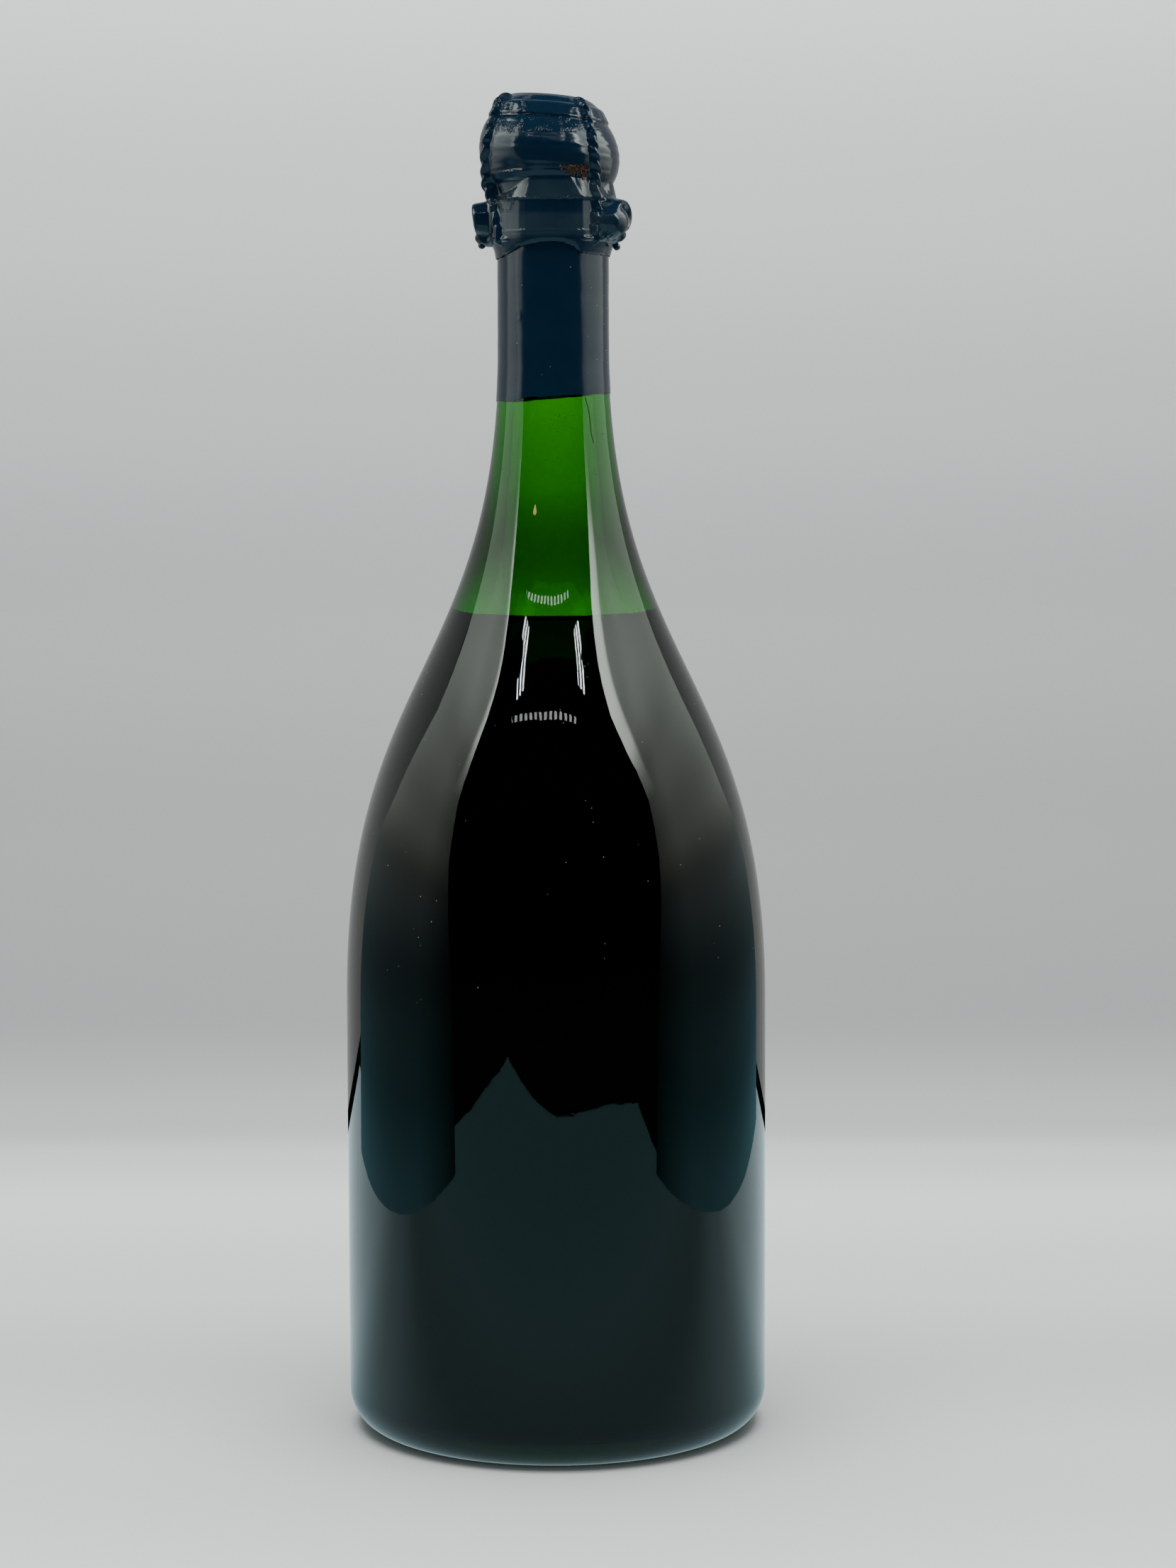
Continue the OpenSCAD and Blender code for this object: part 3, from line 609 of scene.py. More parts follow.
def make_wine():
    side = cavity(-0.03)
    side = side[side[:, 1] < FILL_H + 0.8]
    edge = side[-1]
    rim = [(edge[0] - 0.35, FILL_H + 0.45), (edge[0] - 0.9, FILL_H + 0.12), (edge[0] - 1.8, FILL_H),
           (0, FILL_H)]
    wine = lathe("wine_body", np.concatenate([side, rim]), 192, sharp=50)
    finish = Finish("dark_wine", Roughness=0.03, IOR=1.34, Specular_IOR_Level=0.1)
    cloud = finish.noise(30, 3)
    finish.set("Base Color", finish.mix(cloud, (0.002, 0.004, 0.0015, 1), (0.004, 0.007, 0.002, 1)))
    paint(wine, finish)
    place(wine, "bottle", ["wine"], "wine")


def on_glass(azimuth, z, lift=0.0):
    """Points and outward ways on the glass."""
    azimuth, z = np.broadcast_arrays(np.asarray(azimuth, float), np.asarray(z, float))
    slope = (outside_radius(z + 0.5) - outside_radius(z - 0.5))
    ways = polar(np.ones(len(z)), azimuth, -slope)
    ways /= np.linalg.norm(ways, axis=1)[:, None]
    return polar(outside_radius(z), azimuth, z) + ways * lift, ways


def make_glass_marks(tube):
    """Beads along the wine's edge, and the small marks on the glass."""
    chance = np.random.default_rng(5)
    bead = Finish("meniscus_bead", Base_Color=(0.5, 0.75, 0.3, 1), Roughness=0.1)
    count = 150
    turns = np.arange(count) * 360 / count + chance.uniform(-0.8, 0.8, count)
    inside = cavity(0.0)[-97:]
    inner = np.interp(FILL_H, inside[:, 1], inside[:, 0]) - 0.35
    points = polar(inner - chance.uniform(0, 0.25, count), turns, FILL_H + 0.5)
    beads = scattered("meniscus_beads", points, polar(np.ones(count), turns, 0.0 * turns),
                      scatter_tree("bead_scatter", bead), 0.22, 0.45, 3)
    place(beads, "bottle", (), "wine")

    dust = Finish("pale_dust", Base_Color=(0.55, 0.56, 0.5, 1), Roughness=0.8)
    turns, heights = chance.uniform(-80, 80, 70), chance.uniform(125, 222, 70)
    points, ways = on_glass(turns, heights, 0.02)
    flecks = scattered("dust_flecks", points, ways, scatter_tree("dust_scatter", dust, (1, 0.7, 0.25)),
                       0.16, 0.4, 8)
    place(flecks, "bottle", (), "green_glass")

    dark = Finish("dark_glue", Base_Color=(0.01, 0.035, 0.006, 1), Roughness=0.4)
    turns = np.concatenate([chance.uniform(-6, 25, 16), chance.uniform(-60, 60, 20)])
    heights = np.concatenate([chance.uniform(278, 285, 16), chance.uniform(262, 287, 20)])
    points, ways = on_glass(turns, heights, 0.02)
    spots = scattered("glue_flecks", points, ways, scatter_tree("glue_scatter", dark, (1.6, 0.5, 0.2)),
                      0.3, 0.3, 4)
    place(spots, "bottle", (), "green_glass")

    share = np.linspace(0, 1, 24)
    line, _ = on_glass(34 + 9 * share ** 1.5 + 2 * np.sin(share * 5), 289 - 12.5 * share, 0.02)
    seam = tubes("glue_line", [line], 0.13, tube("glue_line_tube", dark), 6)
    place(seam, "bottle", (), "green_glass")

    tan = Finish("tan_drip", Base_Color=(0.42, 0.30, 0.12, 1), Roughness=0.35)
    drop = lathe("tan_drop", [(0, -1.5), (0.32, -1.3), (0.5, -0.8), (0.42, -0.1), (0.24, 0.7),
                              (0.1, 1.4), (0, 1.7)], 20)
    points, ways = on_glass([-14.5], [258.2], 0.0)
    drop.data.transform(Matrix.Diagonal((1, 0.35, 1, 1)))
    lean = math.atan2(-ways[0][2], math.hypot(ways[0][0], ways[0][1]))
    drop.data.transform(Matrix.Translation(Vector(points[0]) * MM)
                        @ Matrix.Rotation(math.radians(-14.5), 4, "Z")
                        @ Matrix.Rotation(lean, 4, "X"))
    paint(drop, tan)
    place(drop, "bottle", (), "green_glass")


# Capsule: a thin skin shrunk over cap, head, cage and glass ring, and a sleeve on the neck

SKIN_T, SKIN_GAP = 0.25, 0.1
HOOD_COLUMNS, HOOD_ROWS = 340, 176
HOOD_LINE = [(10.4, 371.85), (11.8, 371.2), (13.0, 370.35), (14.2, 369.25), (15.1, 368.15),
             (15.95, 366.8), (16.85, 365.0), (17.75, 363.0), (18.5, 360.0), (18.95, 356.8),
             (19.05, 353.8), (18.75, 351.0), (18.1, 348.6), (17.6, 346.2), (17.4, 344.0),
             (17.3, 341.0), (17.2, 337.0), (17.15, 334.4), (17.0, 332.6), (16.6, 331.2),
             (16.15, 330.0), (15.85, 328.8), (15.8, 327.2)]
HEM_TURNS = (-180, -120, -90, -66, -50, -33, -8, 8, 21, 28, 60, 78, 120, 180)
HEM_HEIGHTS = (328.1, 327.8, 327.4, 327.5, 328.5, 330.2, 331.3, 331.3, 330.0, 328.3, 328.0, 328.1,
               328.3, 328.1)
SLEEVE_TOP = 331.4
SLEEVE_OUT = NECK_R + 0.04 + SKIN_T
UNDER_THE_HOOD = ["crown_cap_sheet", "ring_wire", "belt_wire", "take_up_root_wire",
                  "take_up_loop_wire", "eyelet_root_wire", "eyelet_loop_wire", "leg_wire_left",
                  "leg_wire_right", "leg_wire_back_right", "leg_wire_back_left"]


def obstacle_tree():
    """One ray-cast tree of all that the skin lies on, in millimetres."""
    verts, faces = [], []
    pieces = [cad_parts[name] for name in ("glass_bottle", "cork_body")]
    for piece in pieces + [bpy.data.objects[name] for name in UNDER_THE_HOOD]:
        data = piece.data
        base = len(verts)
        verts += [v.co / MM for v in data.vertices]
        faces += [[base + i for i in p.vertices] for p in data.polygons]
    return BVHTree.FromPolygons(verts, faces)


def crease_height(azimuth):
    """The fold between the cork's head and the lip: highest in front, lower at each leg."""
    front = np.interp(azimuth, (-60, -50, -40, -30, -22, -12, 0, 10, 22, 34, 46, 60),
                      (0.1, 0.5, 1.2, 2.0, 2.9, 3.4, 3.6, 3.4, 2.9, 2.9, 1.8, 0.1))
    return 345.4 + front + 2.4 * hill(wrapped(azimuth - 80), 0, 24) + 2.4 * hill(wrapped(azimuth - 172), 0, 26) \
        + 2.0 * hill(wrapped(azimuth + 105), 0, 22)


def hollow(azimuth, z):
    """The hollow beside the left leg, low on the cork's head."""
    return 1.0 * hill(wrapped(azimuth + 34), 0, 9) * hill(z, 350.3, 3.0)


def hood_grid():
    """The skin's plain line at each row and column: radius, height and the way out of it.
    Every column ends at the hem."""
    fine = spline(HOOD_LINE, 1200)
    along = np.gradient(fine, axis=0)
    along /= np.linalg.norm(along, axis=1)[:, None]
    azimuths = np.arange(HOOD_COLUMNS) * 360.0 / HOOD_COLUMNS
    turns = wrapped(azimuths)
    hem = np.interp(turns, HEM_TURNS, HEM_HEIGHTS)
    ragged = 0.16 * wander(np.radians(turns), 2, 19, 31, 47, 71) \
        + 0.22 * hill(turns, 26, 9) * wander(np.radians(turns), 6, 60, 83)
    order = np.argsort(-fine[:, 1], kind="stable")
    ends = np.interp(-(hem + ragged), -fine[order, 1], order.astype(float))
    at = np.linspace(0, 1, HOOD_ROWS)[:, None] * ends[None, :]
    pick = np.arange(len(fine))
    return azimuths, [np.interp(at, pick, values) for values in (
        fine[:, 0], fine[:, 1], -along[:, 1], along[:, 0])]


def hood_heights(azimuths, r, z, out_r, out_z):
    """How far the skin stands off the plain line, over everything that pushes it out."""
    tree = obstacle_tree()
    reach, least = 14.0, -1.6
    pushed = np.full(r.shape, least)
    for j, azimuth in enumerate(azimuths):
        s, c = math.sin(math.radians(azimuth)), -math.cos(math.radians(azimuth))
        for i in range(r.shape[0]):
            way = Vector((out_r[i, j] * s, out_r[i, j] * c, out_z[i, j]))
            start = Vector((r[i, j] * s, r[i, j] * c, z[i, j])) + way * reach
            hit = tree.ray_cast(start, -way, reach - least)
            if hit[0] is not None:
                pushed[i, j] = reach - hit[3]
    pushed = pushed - hollow(azimuths[None, :], z)
    # over a steep side the skin stands off it by its own thickness
    around = np.max([np.roll(pushed, k, 1) for k in (-1, 1)]
                    + [np.concatenate([pushed[1:], pushed[-1:]]),
                       np.concatenate([pushed[:1], pushed[:-1]])], axis=0)
    pushed = np.maximum(pushed, around - 0.45)
    turns = wrapped(azimuths)[None, :]
    # the crease under the cork's head, with a taut band from it down to the lip
    top = crease_height(turns)
    flank_z, flank_r = (344.6, 345.8, 346.7, 347.7, 348.7, 349.9, 351.1), \
        (13.2, 14.45, 15.45, 16.3, 17.0, 17.7, 18.2)
    flank = np.interp(z, flank_z, flank_r)
    top_r = np.minimum(np.interp(top, flank_z, flank_r) + 0.25, 17.1)
    band = 17.5 + (top_r - 17.5) * np.clip((z - 343.2) / (top - 343.2), 0, 1)
    ledge = top_r - 1.1 * (z - top)
    in_notch = (z > 343.2) & (z < 350.5)
    notch = np.where(z < top, np.maximum(band, flank), np.maximum(ledge, flank)) - r
    pushed = np.maximum(pushed, np.where(in_notch, notch, least))
    # the rolled top edge lies on the disc, and the skin spans the cap's groove
    pushed = np.maximum(pushed, np.where(r < 15.2, np.where(z > 360, -0.06, least), least))
    # it is taut between the ring and the sleeve too
    pushed = np.maximum(pushed, np.where(z < 334.6, -0.1, least))
    # the sleeve that the hem lies on
    pushed = np.maximum(pushed, np.where(z < SLEEVE_TOP + 0.5, SLEEVE_OUT - 0.05 - r, least))
    # the skin is blown into a bubble over the eyelet, up to the leg in front of it
    along = 17.3 * np.cos(np.radians(turns - 60))
    inside = along ** 2 - 17.3 ** 2 + 32.0 * (1 - ((z - 337.3) / 5.1) ** 2)
    bubble = along + np.sqrt(np.maximum(inside, 0))
    pushed = np.maximum(pushed, np.where((inside > 0) & (along > 0), bubble - r, least))
    taut = np.maximum(hill(turns, 64, 18) * hill(z, 338, 6), 0.15 * hill(turns, -97, 6) * hill(z, 338, 5))
    pull = 0.10 * (1 - taut) + 0.006 + 0.5 * hill(z, top + 0.6, 0.5) + 0.15 * hill(z, 364.3, 1.2)
    h = np.maximum(pushed, 0.0)
    for _ in range(500):
        up = np.concatenate([h[:1], h[:-1]])
        down = np.concatenate([h[1:], h[-1:]])
        h = np.maximum((up + down + np.roll(h, 1, 1) + np.roll(h, -1, 1)) / 4 - pull, pushed)
    return np.maximum(soften(h, 2), pushed + 0.03)


def soften(h, rounds):
    for _ in range(rounds):
        up, down = np.concatenate([h[:1], h[:-1]]), np.concatenate([h[1:], h[-1:]])
        h = h * 0.5 + (up + down + np.roll(h, 1, 1) + np.roll(h, -1, 1)) / 8
    return h


def wrinkles(azimuths, z):
    """Small folds in the skin: a line at the cap's edge, ripples under the head and pleats."""
    turns = wrapped(azimuths)[None, :]
    edge = 365.75 + 0.12 * wander(np.radians(turns), 3, 9, 23)
    line = -0.14 * hill(z, edge, 0.28) + 0.07 * hill(z, edge + 0.55, 0.35)
    ripple = 0.02 * wander(np.radians(turns) * 1.0 + (z - 340) * 0.03, 4, 37, 53, 71) \
        * smooth_step((z - 343) / 2) * smooth_step((352 - z) / 3)
    lift = 0.8 * hill(turns, -75, 11) * hill(z, 348, 4.5)
    lip = 0.2 * hill(z, 342.95, 0.32)
    across = np.radians(turns - 45) * 20 + (z - 333) * 0.35
    pleat = 0.16 * np.sin(across * 6.5) * hill(turns, 52, 9) * hill(z, 333.2 - (turns - 45) * 0.09, 1.3)
    under = -0.10 * hill(z, 333.75, 0.22) * hill(turns, -5, 30)
    rings = 0.035 * np.sin((z + 0.02 * turns) * 2.3) * hill(z, 355, 7)
    return line + ripple + lip + pleat + under + lift + rings


def lean_head(piece):
    """The cork's head, and all that is on it, leans to the left, and its top tilts down to
    the right."""
    co = np.empty(3 * len(piece.data.vertices))
    piece.data.vertices.foreach_get("co", co)
    co = co.reshape(-1, 3)
    share = smooth_step((co[:, 2] / MM - 343.5) / 17)
    co[:, 2] -= 0.08 * (co[:, 0] + 4.5 * MM) * smooth_step((co[:, 2] / MM - 350) / 15)
    co[:, 0] -= 1.05 * MM * share
    piece.data.vertices.foreach_set("co", co.ravel())
    piece.data.update()


def make_knobs(finish):
    """Small drops of skin over the wire ends under the take-up loop and the eyelet."""
    for name, azimuth, r, z, size in (("left", -99, 20.0, 331.6, 1.15), ("right", 73, 18.4, 330.5, 1.1)):
        knob = lathe("capsule_knob_" + name, [
            (0, -1.0), (0.45, -0.9), (0.78, -0.62), (0.92, -0.2), (0.9, 0.25), (0.72, 0.8), (0.5, 1.5),
            (0.42, 2.2), (0, 2.5)], 24)
        knob.data.transform(Matrix.Translation(Vector(polar(r, azimuth, z)) * MM)
                            @ Matrix.Rotation(math.radians(azimuth), 4, "Z")
                            @ Matrix.Rotation(math.radians(-38), 4, "X") @ Matrix.Scale(size, 4))
        paint(knob, finish)
        place(knob, "hood", (), "capsule_skin")


def skin_shell(name, outer, inner, inner_rows, cut=None):
    """A closed thin skin between two grids of points that go round the bottle. Cells in cut
    are left out, and the skin's thickness is closed round them."""
    rows, n = outer.shape[:2]
    base = rows * n
    inner_at = {row: base + k * n for k, row in enumerate(inner_rows)}
    cut = np.zeros((rows - 1, n), bool) if cut is None else cut
    faces = []
    for i in range(rows - 1):
        for j in np.flatnonzero(~cut[i]):
            t = (j + 1) % n
            faces.append((i * n + j, (i + 1) * n + j, (i + 1) * n + t, i * n + t))
    for high, low in zip(inner_rows, inner_rows[1:]):
        a, b = inner_at[high], inner_at[low]
        for j in np.flatnonzero(~cut[high]):
            t = (j + 1) % n
            faces.append((b + j, a + j, a + t, b + t))

    def rim(i, j, k, m):
        """Closes the skin along an edge that an outer face runs from (i, j) to (k, m)."""
        faces.append((k * n + m, i * n + j, inner_at[i] + j, inner_at[k] + m))
    for i, j in zip(*np.nonzero(~cut)):
        t, before = (j + 1) % n, (j - 1) % n
        if cut[i, before]:
            rim(i, j, i + 1, j)
        if cut[i, t]:
            rim(i + 1, t, i, t)
        if i == 0 or cut[i - 1, j]:
            rim(i, t, i, j)
        if i == rows - 2 or cut[i + 1, j]:
            rim(i + 1, j, i + 1, t)
    verts = np.concatenate([outer.reshape(-1, 3), inner.reshape(-1, 3)])
    used = np.unique([i for face in faces for i in face])
    renumber = np.full(len(verts), -1)
    renumber[used] = np.arange(len(used))
    piece = mesh_object(name, verts[used], [tuple(renumber[list(face)].tolist()) for face in faces])
    piece.data.set_sharp_from_angle(angle=math.radians(60))
    return piece


def make_hood(finish):
    azimuths, (r, z, out_r, out_z) = hood_grid()
    h = hood_heights(azimuths, r, z, out_r, out_z)
    thin = np.linspace(HOOD_ROWS - 1, 0, HOOD_ROWS)[:, None]
    outside = h + wrinkles(azimuths, z) - 0.17 * smooth_step((5 - thin) / 5)

    def points(offset, rows):
        return polar((r + offset * out_r)[rows], azimuths[None, :], (z + offset * out_z)[rows])
    turns = wrapped(azimuths)[None, :] + 0 * z
    tear_line = 0.6 * wander(np.radians(turns), 9, 90, 130)
    tear = np.abs(z - 350.6 - 0.10 * (turns - 22) + tear_line) < 1.15 * np.sqrt(
        np.maximum(0, 1 - ((turns - 23) / 10.5) ** 2))
    pouch = ((turns - 65) / 21) ** 2 + ((z - 338.6) / 7.2) ** 2 < 1
    pouch |= (np.abs(turns - 68) < 6) & (z > 331.9) & (z < 338)
    tear, pouch = tear[:-1], pouch[:-1]
    kept = np.unique(np.nonzero(tear | pouch)[0])
    rows = set(np.linspace(0, HOOD_ROWS - 1, 34).astype(int).tolist())
    for k in kept.tolist():
        rows |= {k, k + 1}
    rows = sorted(rows)
    outer, inner = points(outside + SKIN_GAP + SKIN_T, slice(None)), points(h + SKIN_GAP, rows)
    hood = skin_shell("capsule_hood_skin", outer, inner, rows, tear | pouch)
    paint(hood, finish)
    place(hood, "hood", ["capsule_hood"], "capsule_skin")
    flap = skin_shell("capsule_eyelet_pouch", outer, inner, rows, ~pouch)
    paint(flap, finish)
    place(flap, "eyelet", (), "capsule_skin")


def make_crumbs():
    """Crumbling cork and rust in the tear in front."""
    chance = np.random.default_rng(12)
    colour = Finish("rusty_crumb", Roughness=0.9)
    shade = colour.noise(1400, 1)
    colour.set("Base Color", colour.mix(colour.span(shade, 0.35, 0.65), (0.15, 0.045, 0.012, 1),
                                        (0.03, 0.014, 0.008, 1)))
    turns = np.concatenate([chance.normal(18, 5, 90), chance.normal(30, 2.5, 70)])
    z = np.concatenate([351.6 + 0.06 * (turns[:90] - 18) + chance.normal(0, 0.5, 90),
                        349.5 + chance.normal(0, 1.6, 70)])
    points = polar(18.55 - 0.32 * np.maximum(0, 351.2 - z) + chance.uniform(-0.25, 0.2, 160), turns, z)
    crumbs = scattered("rust_crumbs", points, polar(np.ones(160), turns, 0 * z),
                       scatter_tree("crumb_scatter", colour, (1, 0.8, 0.6), 0.25), 0.34, 0.25, 6)
    place(crumbs, "hood", (), "agglomerate_cork")


def make_top_disc(finish):
    def crinkle(azimuth, r, z):
        a = np.radians(azimuth)
        return r, z - 0.05 * hill(r, 7.6, 0.5) + 0.03 * np.sin(5 * a + 1) * (r / 11) ** 2
    under = [(r, 372.44 - 0.95 * (r / 11) ** 2.4) for r in np.linspace(0, 11.3, 24)]
    over = [(r, z + 0.22) for r, z in under[::-1]]
    disc = lathe("capsule_top_disc_skin", under + over, 144, 50, crinkle)
    paint(disc, finish)
    place(disc, "hood", ["capsule_top_disc"], "capsule_skin")


def sleeve_edge(turns):
    """The sleeve's lower edge: slanted, with soft scallops."""
    a = np.radians(turns)
    slant = 289.25 + 1.03 * np.sin(a)
    dip = -0.55 * hill(turns, -47, 10) + 0.35 * hill(turns, -22, 9) + 0.25 * hill(turns, 62, 14)
    return slant + dip + 0.10 * wander(a, 11, 9, 15, 24)


def make_sleeve(finish):
    n, rows = 240, 64
    azimuths = np.arange(n) * 360.0 / n
    turns = wrapped(azimuths)
    share = np.linspace(0, 1, rows)[:, None] ** 0.8
    z = SLEEVE_TOP + (sleeve_edge(turns)[None, :] - SLEEVE_TOP) * share
    seam_at = wrapped(turns[None, :] + 38 + 1.5 * np.sin((z - 310) * 0.12))
    seam = 0.10 * smooth_step((seam_at + 1.2) / 2.4) * hill(seam_at, 0, 10) - 0.05 * hill(seam_at, -2, 1.2)
    ring = np.hypot((turns[None, :] + 38.5) * 0.27 / 0.9, (z - 311.4) / 1.25)
    bubble = 0.09 * hill(ring, 1.0, 0.28)
    ripple = 0.04 * wander(np.radians(turns)[None, :] + z * 0.01, 8, 5, 9) \
        + 0.03 * wander(z * 0.3, 7, 1, 2.3)
    end = -0.06 * smooth_step((share - 0.97) / 0.03)
    under = outside_radius(z) + 0.04
    outer = polar(under + SKIN_T - 0.05 + (seam + bubble + ripple) * smooth_step((331.2 - z) / 3) + end,
                  azimuths[None, :], z)
    inner_rows = list(range(0, rows, 9))
    inner = polar(under, azimuths[None, :], z)[inner_rows]
    sleeve = skin_shell("neck_sleeve_skin", outer, inner, inner_rows)
    paint(sleeve, finish)
    place(sleeve, "bottle", ["capsule_sleeve"], "capsule_skin")

    chance = np.random.default_rng(9)
    white = Finish("white_speck", Base_Color=(0.5, 0.52, 0.5, 1), Roughness=0.7)
    turns, heights = chance.uniform(-90, 90, 26), chance.uniform(293, 327, 26)
    points = polar(outside_radius(heights) + 0.27, turns, heights)
    specks = scattered("capsule_specks", points, polar(np.ones(26), turns, 0 * turns),
                       scatter_tree("speck_scatter", white, (1, 0.7, 0.3)), 0.17, 0.4, 2)
    place(specks, "bottle", (), "capsule_skin")


def capsule_finish():
    finish = Finish("capsule_skin", Roughness=0.14, IOR=1.5)
    height = finish.axis("Z")
    turns = finish.azimuth()
    shade = finish.noise(120, 3)
    navy = finish.mix(shade, (0.0022, 0.011, 0.026, 1), (0.0040, 0.017, 0.036, 1))
    worn = finish.maths("MULTIPLY", finish.span(height, 0.3706, 0.3722),
                        finish.span(finish.noise(700, 5, 0.7), 0.3, 0.75))
    # painted reflection: lighter grey-blue bands in front, over the glass ring and on the taut band under the
    # crease, stand in for the surroundings reflected on those slopes
    painted_reflection_bands = finish.maths("MAXIMUM", finish.between(height, 0.3335, 0.3385, 0.0012),
                        finish.between(height, 0.3436, 0.3476, 0.0006))
    painted_reflection_bands = finish.maths("MULTIPLY", painted_reflection_bands, finish.between(turns, -38, 40, 12))
    painted_reflection_bands = finish.maths("MULTIPLY", painted_reflection_bands, finish.span(shade, 0.2, 0.8, 0.35, 0.8))
    navy = finish.mix(painted_reflection_bands, navy, (0.020, 0.036, 0.048, 1))
    finish.set("Base Color", finish.mix(finish.maths("MULTIPLY", worn, 0.4), navy,
                                        (0.11, 0.09, 0.055, 1)))
    grain = finish.noise(1500, 3, 0.6)
    wave = finish.noise(200, 2, 0.5)
    fine = finish.maths("ADD", finish.maths("MULTIPLY", grain, 0.2), wave)
    soft = finish.bump(fine, 0.3, 0.0002)
    crackle = finish.node("TexVoronoi", {"Vector": finish.place(), "Scale": 2700.0},
                          feature="SMOOTH_F1").outputs["Distance"]
    patchy = finish.span(finish.noise(420, 3), 0.46, 0.7)
    zone = finish.maths("MULTIPLY", finish.between(turns, -60, 42, 12), finish.maths(
        "MAXIMUM", finish.between(height, 0.3612, 0.3648, 0.0008), finish.maths(
            "MULTIPLY", finish.between(height, 0.3672, 0.371, 0.0006),
            finish.between(finish.maths("ABSOLUTE", turns), 26, 60, 6))))
    near_leg = finish.maths("MULTIPLY", finish.between(turns, -62, -40, 5),
                            finish.between(height, 0.3405, 0.3445, 0.001))
    mask = finish.maths("MULTIPLY", finish.maths("MAXIMUM", zone, near_leg), patchy)
    finish.set("Normal", finish.bump(finish.maths("MULTIPLY", crackle, mask), 0.9, 0.0005, soft))
    return finish


# Cork, cap and cage, as they show once the capsule is off

def head_curve(t):
    bulge = (4 * 37.8 - 12.0 - 15.2) / 6
    t = np.asarray(t, float)[..., None]
    a, b, c, d = (np.array(p) for p in ((12.0, HEAD_LOW), (bulge, HEAD_LOW + 4.2),
                                        (bulge + 0.2, HEAD_TOP - 5.6), (15.2, HEAD_TOP)))
    return (1 - t) ** 3 * a + 3 * (1 - t) ** 2 * t * b + 3 * (1 - t) * t * t * c + t ** 3 * d


def off_head(t, d):
    v = head_curve(t + 0.01) - head_curve(t - 0.01)
    n = np.stack([v[..., 1], -v[..., 0]], -1)
    return head_curve(t) + d * n / np.linalg.norm(n, axis=-1, keepdims=True)


def cork_finish(name, grain, dark, light, spots):
    """Pressed granules or natural cork, depending on the size of the grain."""
    finish = Finish(name, Roughness=0.85)
    cells = finish.node("TexVoronoi", {"Vector": finish.place(), "Scale": grain, "Randomness": 1.0})
    tone = finish.node("SeparateColor", {"Color": cells.outputs["Color"]}).outputs["Red"]
    speckle = finish.span(finish.noise(grain * 2.2, 4, 0.65), 0.35, 0.65)
    base = finish.mix(tone, dark, light)
    base = finish.mix(finish.maths("MULTIPLY", speckle, 0.35), base, (0.12, 0.06, 0.025, 1))
    pits = finish.span(finish.noise(spots, 2, 0.6, stretch=(1, 1, 0.35)), 0.62, 0.68)
    base = finish.mix(pits, base, (0.05, 0.025, 0.012, 1))
    # painted shade: the cork that shows through the tear in front is darkened in blotches, as it lies in the
    # hole's shadow
    tear_painted_shade = finish.maths("MULTIPLY", finish.between(finish.azimuth(), 14, 34, 14),
                        finish.between(finish.axis("Z"), 0.3485, 0.3525, 0.004))
    blotch = finish.span(finish.noise(420, 3, 0.6), 0.35, 0.6, 0.25, 1.0)
    tear_painted_shade = finish.span(finish.maths("MULTIPLY", tear_painted_shade, blotch), 0.12, 0.5)
    finish.set("Base Color", finish.mix(tear_painted_shade, base, (0.03, 0.017, 0.011, 1)))
    relief = finish.maths("SUBTRACT", cells.outputs["Distance"], finish.maths("MULTIPLY", pits, 0.6))
    finish.set("Normal", finish.bump(relief, 0.5, 0.0004))
    return finish


def make_cork():
    pressed = cork_finish("agglomerate_cork", 520, (0.30, 0.16, 0.07, 1), (0.56, 0.36, 0.18, 1), 300)
    natural = cork_finish("natural_cork", 160, (0.42, 0.25, 0.12, 1), (0.50, 0.31, 0.16, 1), 190)
    shank = BORE_R - 0.05
    low = CORK_LOW + 2 * DISC_T
    under = np.stack([np.full(12, shank), np.linspace(low, HEAD_LOW, 12)], 1)
    profile = np.concatenate([[[0, low], [shank - 0.4, low]], under[1:], [[10.4, HEAD_LOW]],
                              head_curve(np.linspace(0, 1, 40)),
                              [[14.9, HEAD_TOP + 1.1], [14.3, HEAD_TOP + 1.75], [13.0, HEAD_TOP + 2.55],
                               [9.0, HEAD_TOP + 2.7], [4.0, HEAD_TOP + 2.7], [0, HEAD_TOP + 2.7]]])

    def pressed_in(azimuth, r, z):
        """Grains stand out a little, and the cage's legs have pressed dents into the head."""
        a = np.radians(azimuth)
        grain = 0.05 * wander(a * 1.0 + z * 0.9, 3, 17, 29, 41) + 0.04 * wander(a - z * 1.7, 5, 23, 37, 51)
        dent = 0.0
        for k in range(4):
            away = wrapped(azimuth - leg_azimuth(k, z))
            dent = dent + 0.30 * hill(away, 0, 3.5) * smooth_step((z - 350) / 4)
        dent = dent + hollow(azimuth, z)
        on_head = smooth_step((z - HEAD_LOW) / 1.5) * smooth_step((HEAD_TOP + 1.5 - z) / 2)
        return r + (np.minimum(grain, 0.04) - 0.05 - dent) * on_head * (r > 9), z
    cork = lathe("cork_head_and_shank", profile, 180, 50, pressed_in)
    paint(cork, pressed)
    place(cork, "cork", ["cork_body"], "agglomerate_cork")
    discs = (("upper", CORK_LOW + DISC_T, 0.15), ("lower", CORK_LOW, 0.7))
    for name, z, edge in discs:
        line = [(0, z), (shank - edge, z), (shank - 0.3 * edge, z + 0.3 * edge), (shank, z + edge)]
        line += [(shank - 0.04 * math.sin(k), z + edge + (DISC_T - edge - 0.15) * k / 6)
                 for k in range(1, 6)]
        line += [(shank, z + DISC_T - 0.12), (shank - 0.12, z + DISC_T), (0, z + DISC_T)]
        disc = lathe("cork_disc_" + name + "_slice", line, 96, 50)
        paint(disc, natural)
        place(disc, "cork", ["cork_disc_" + name], "natural_cork")


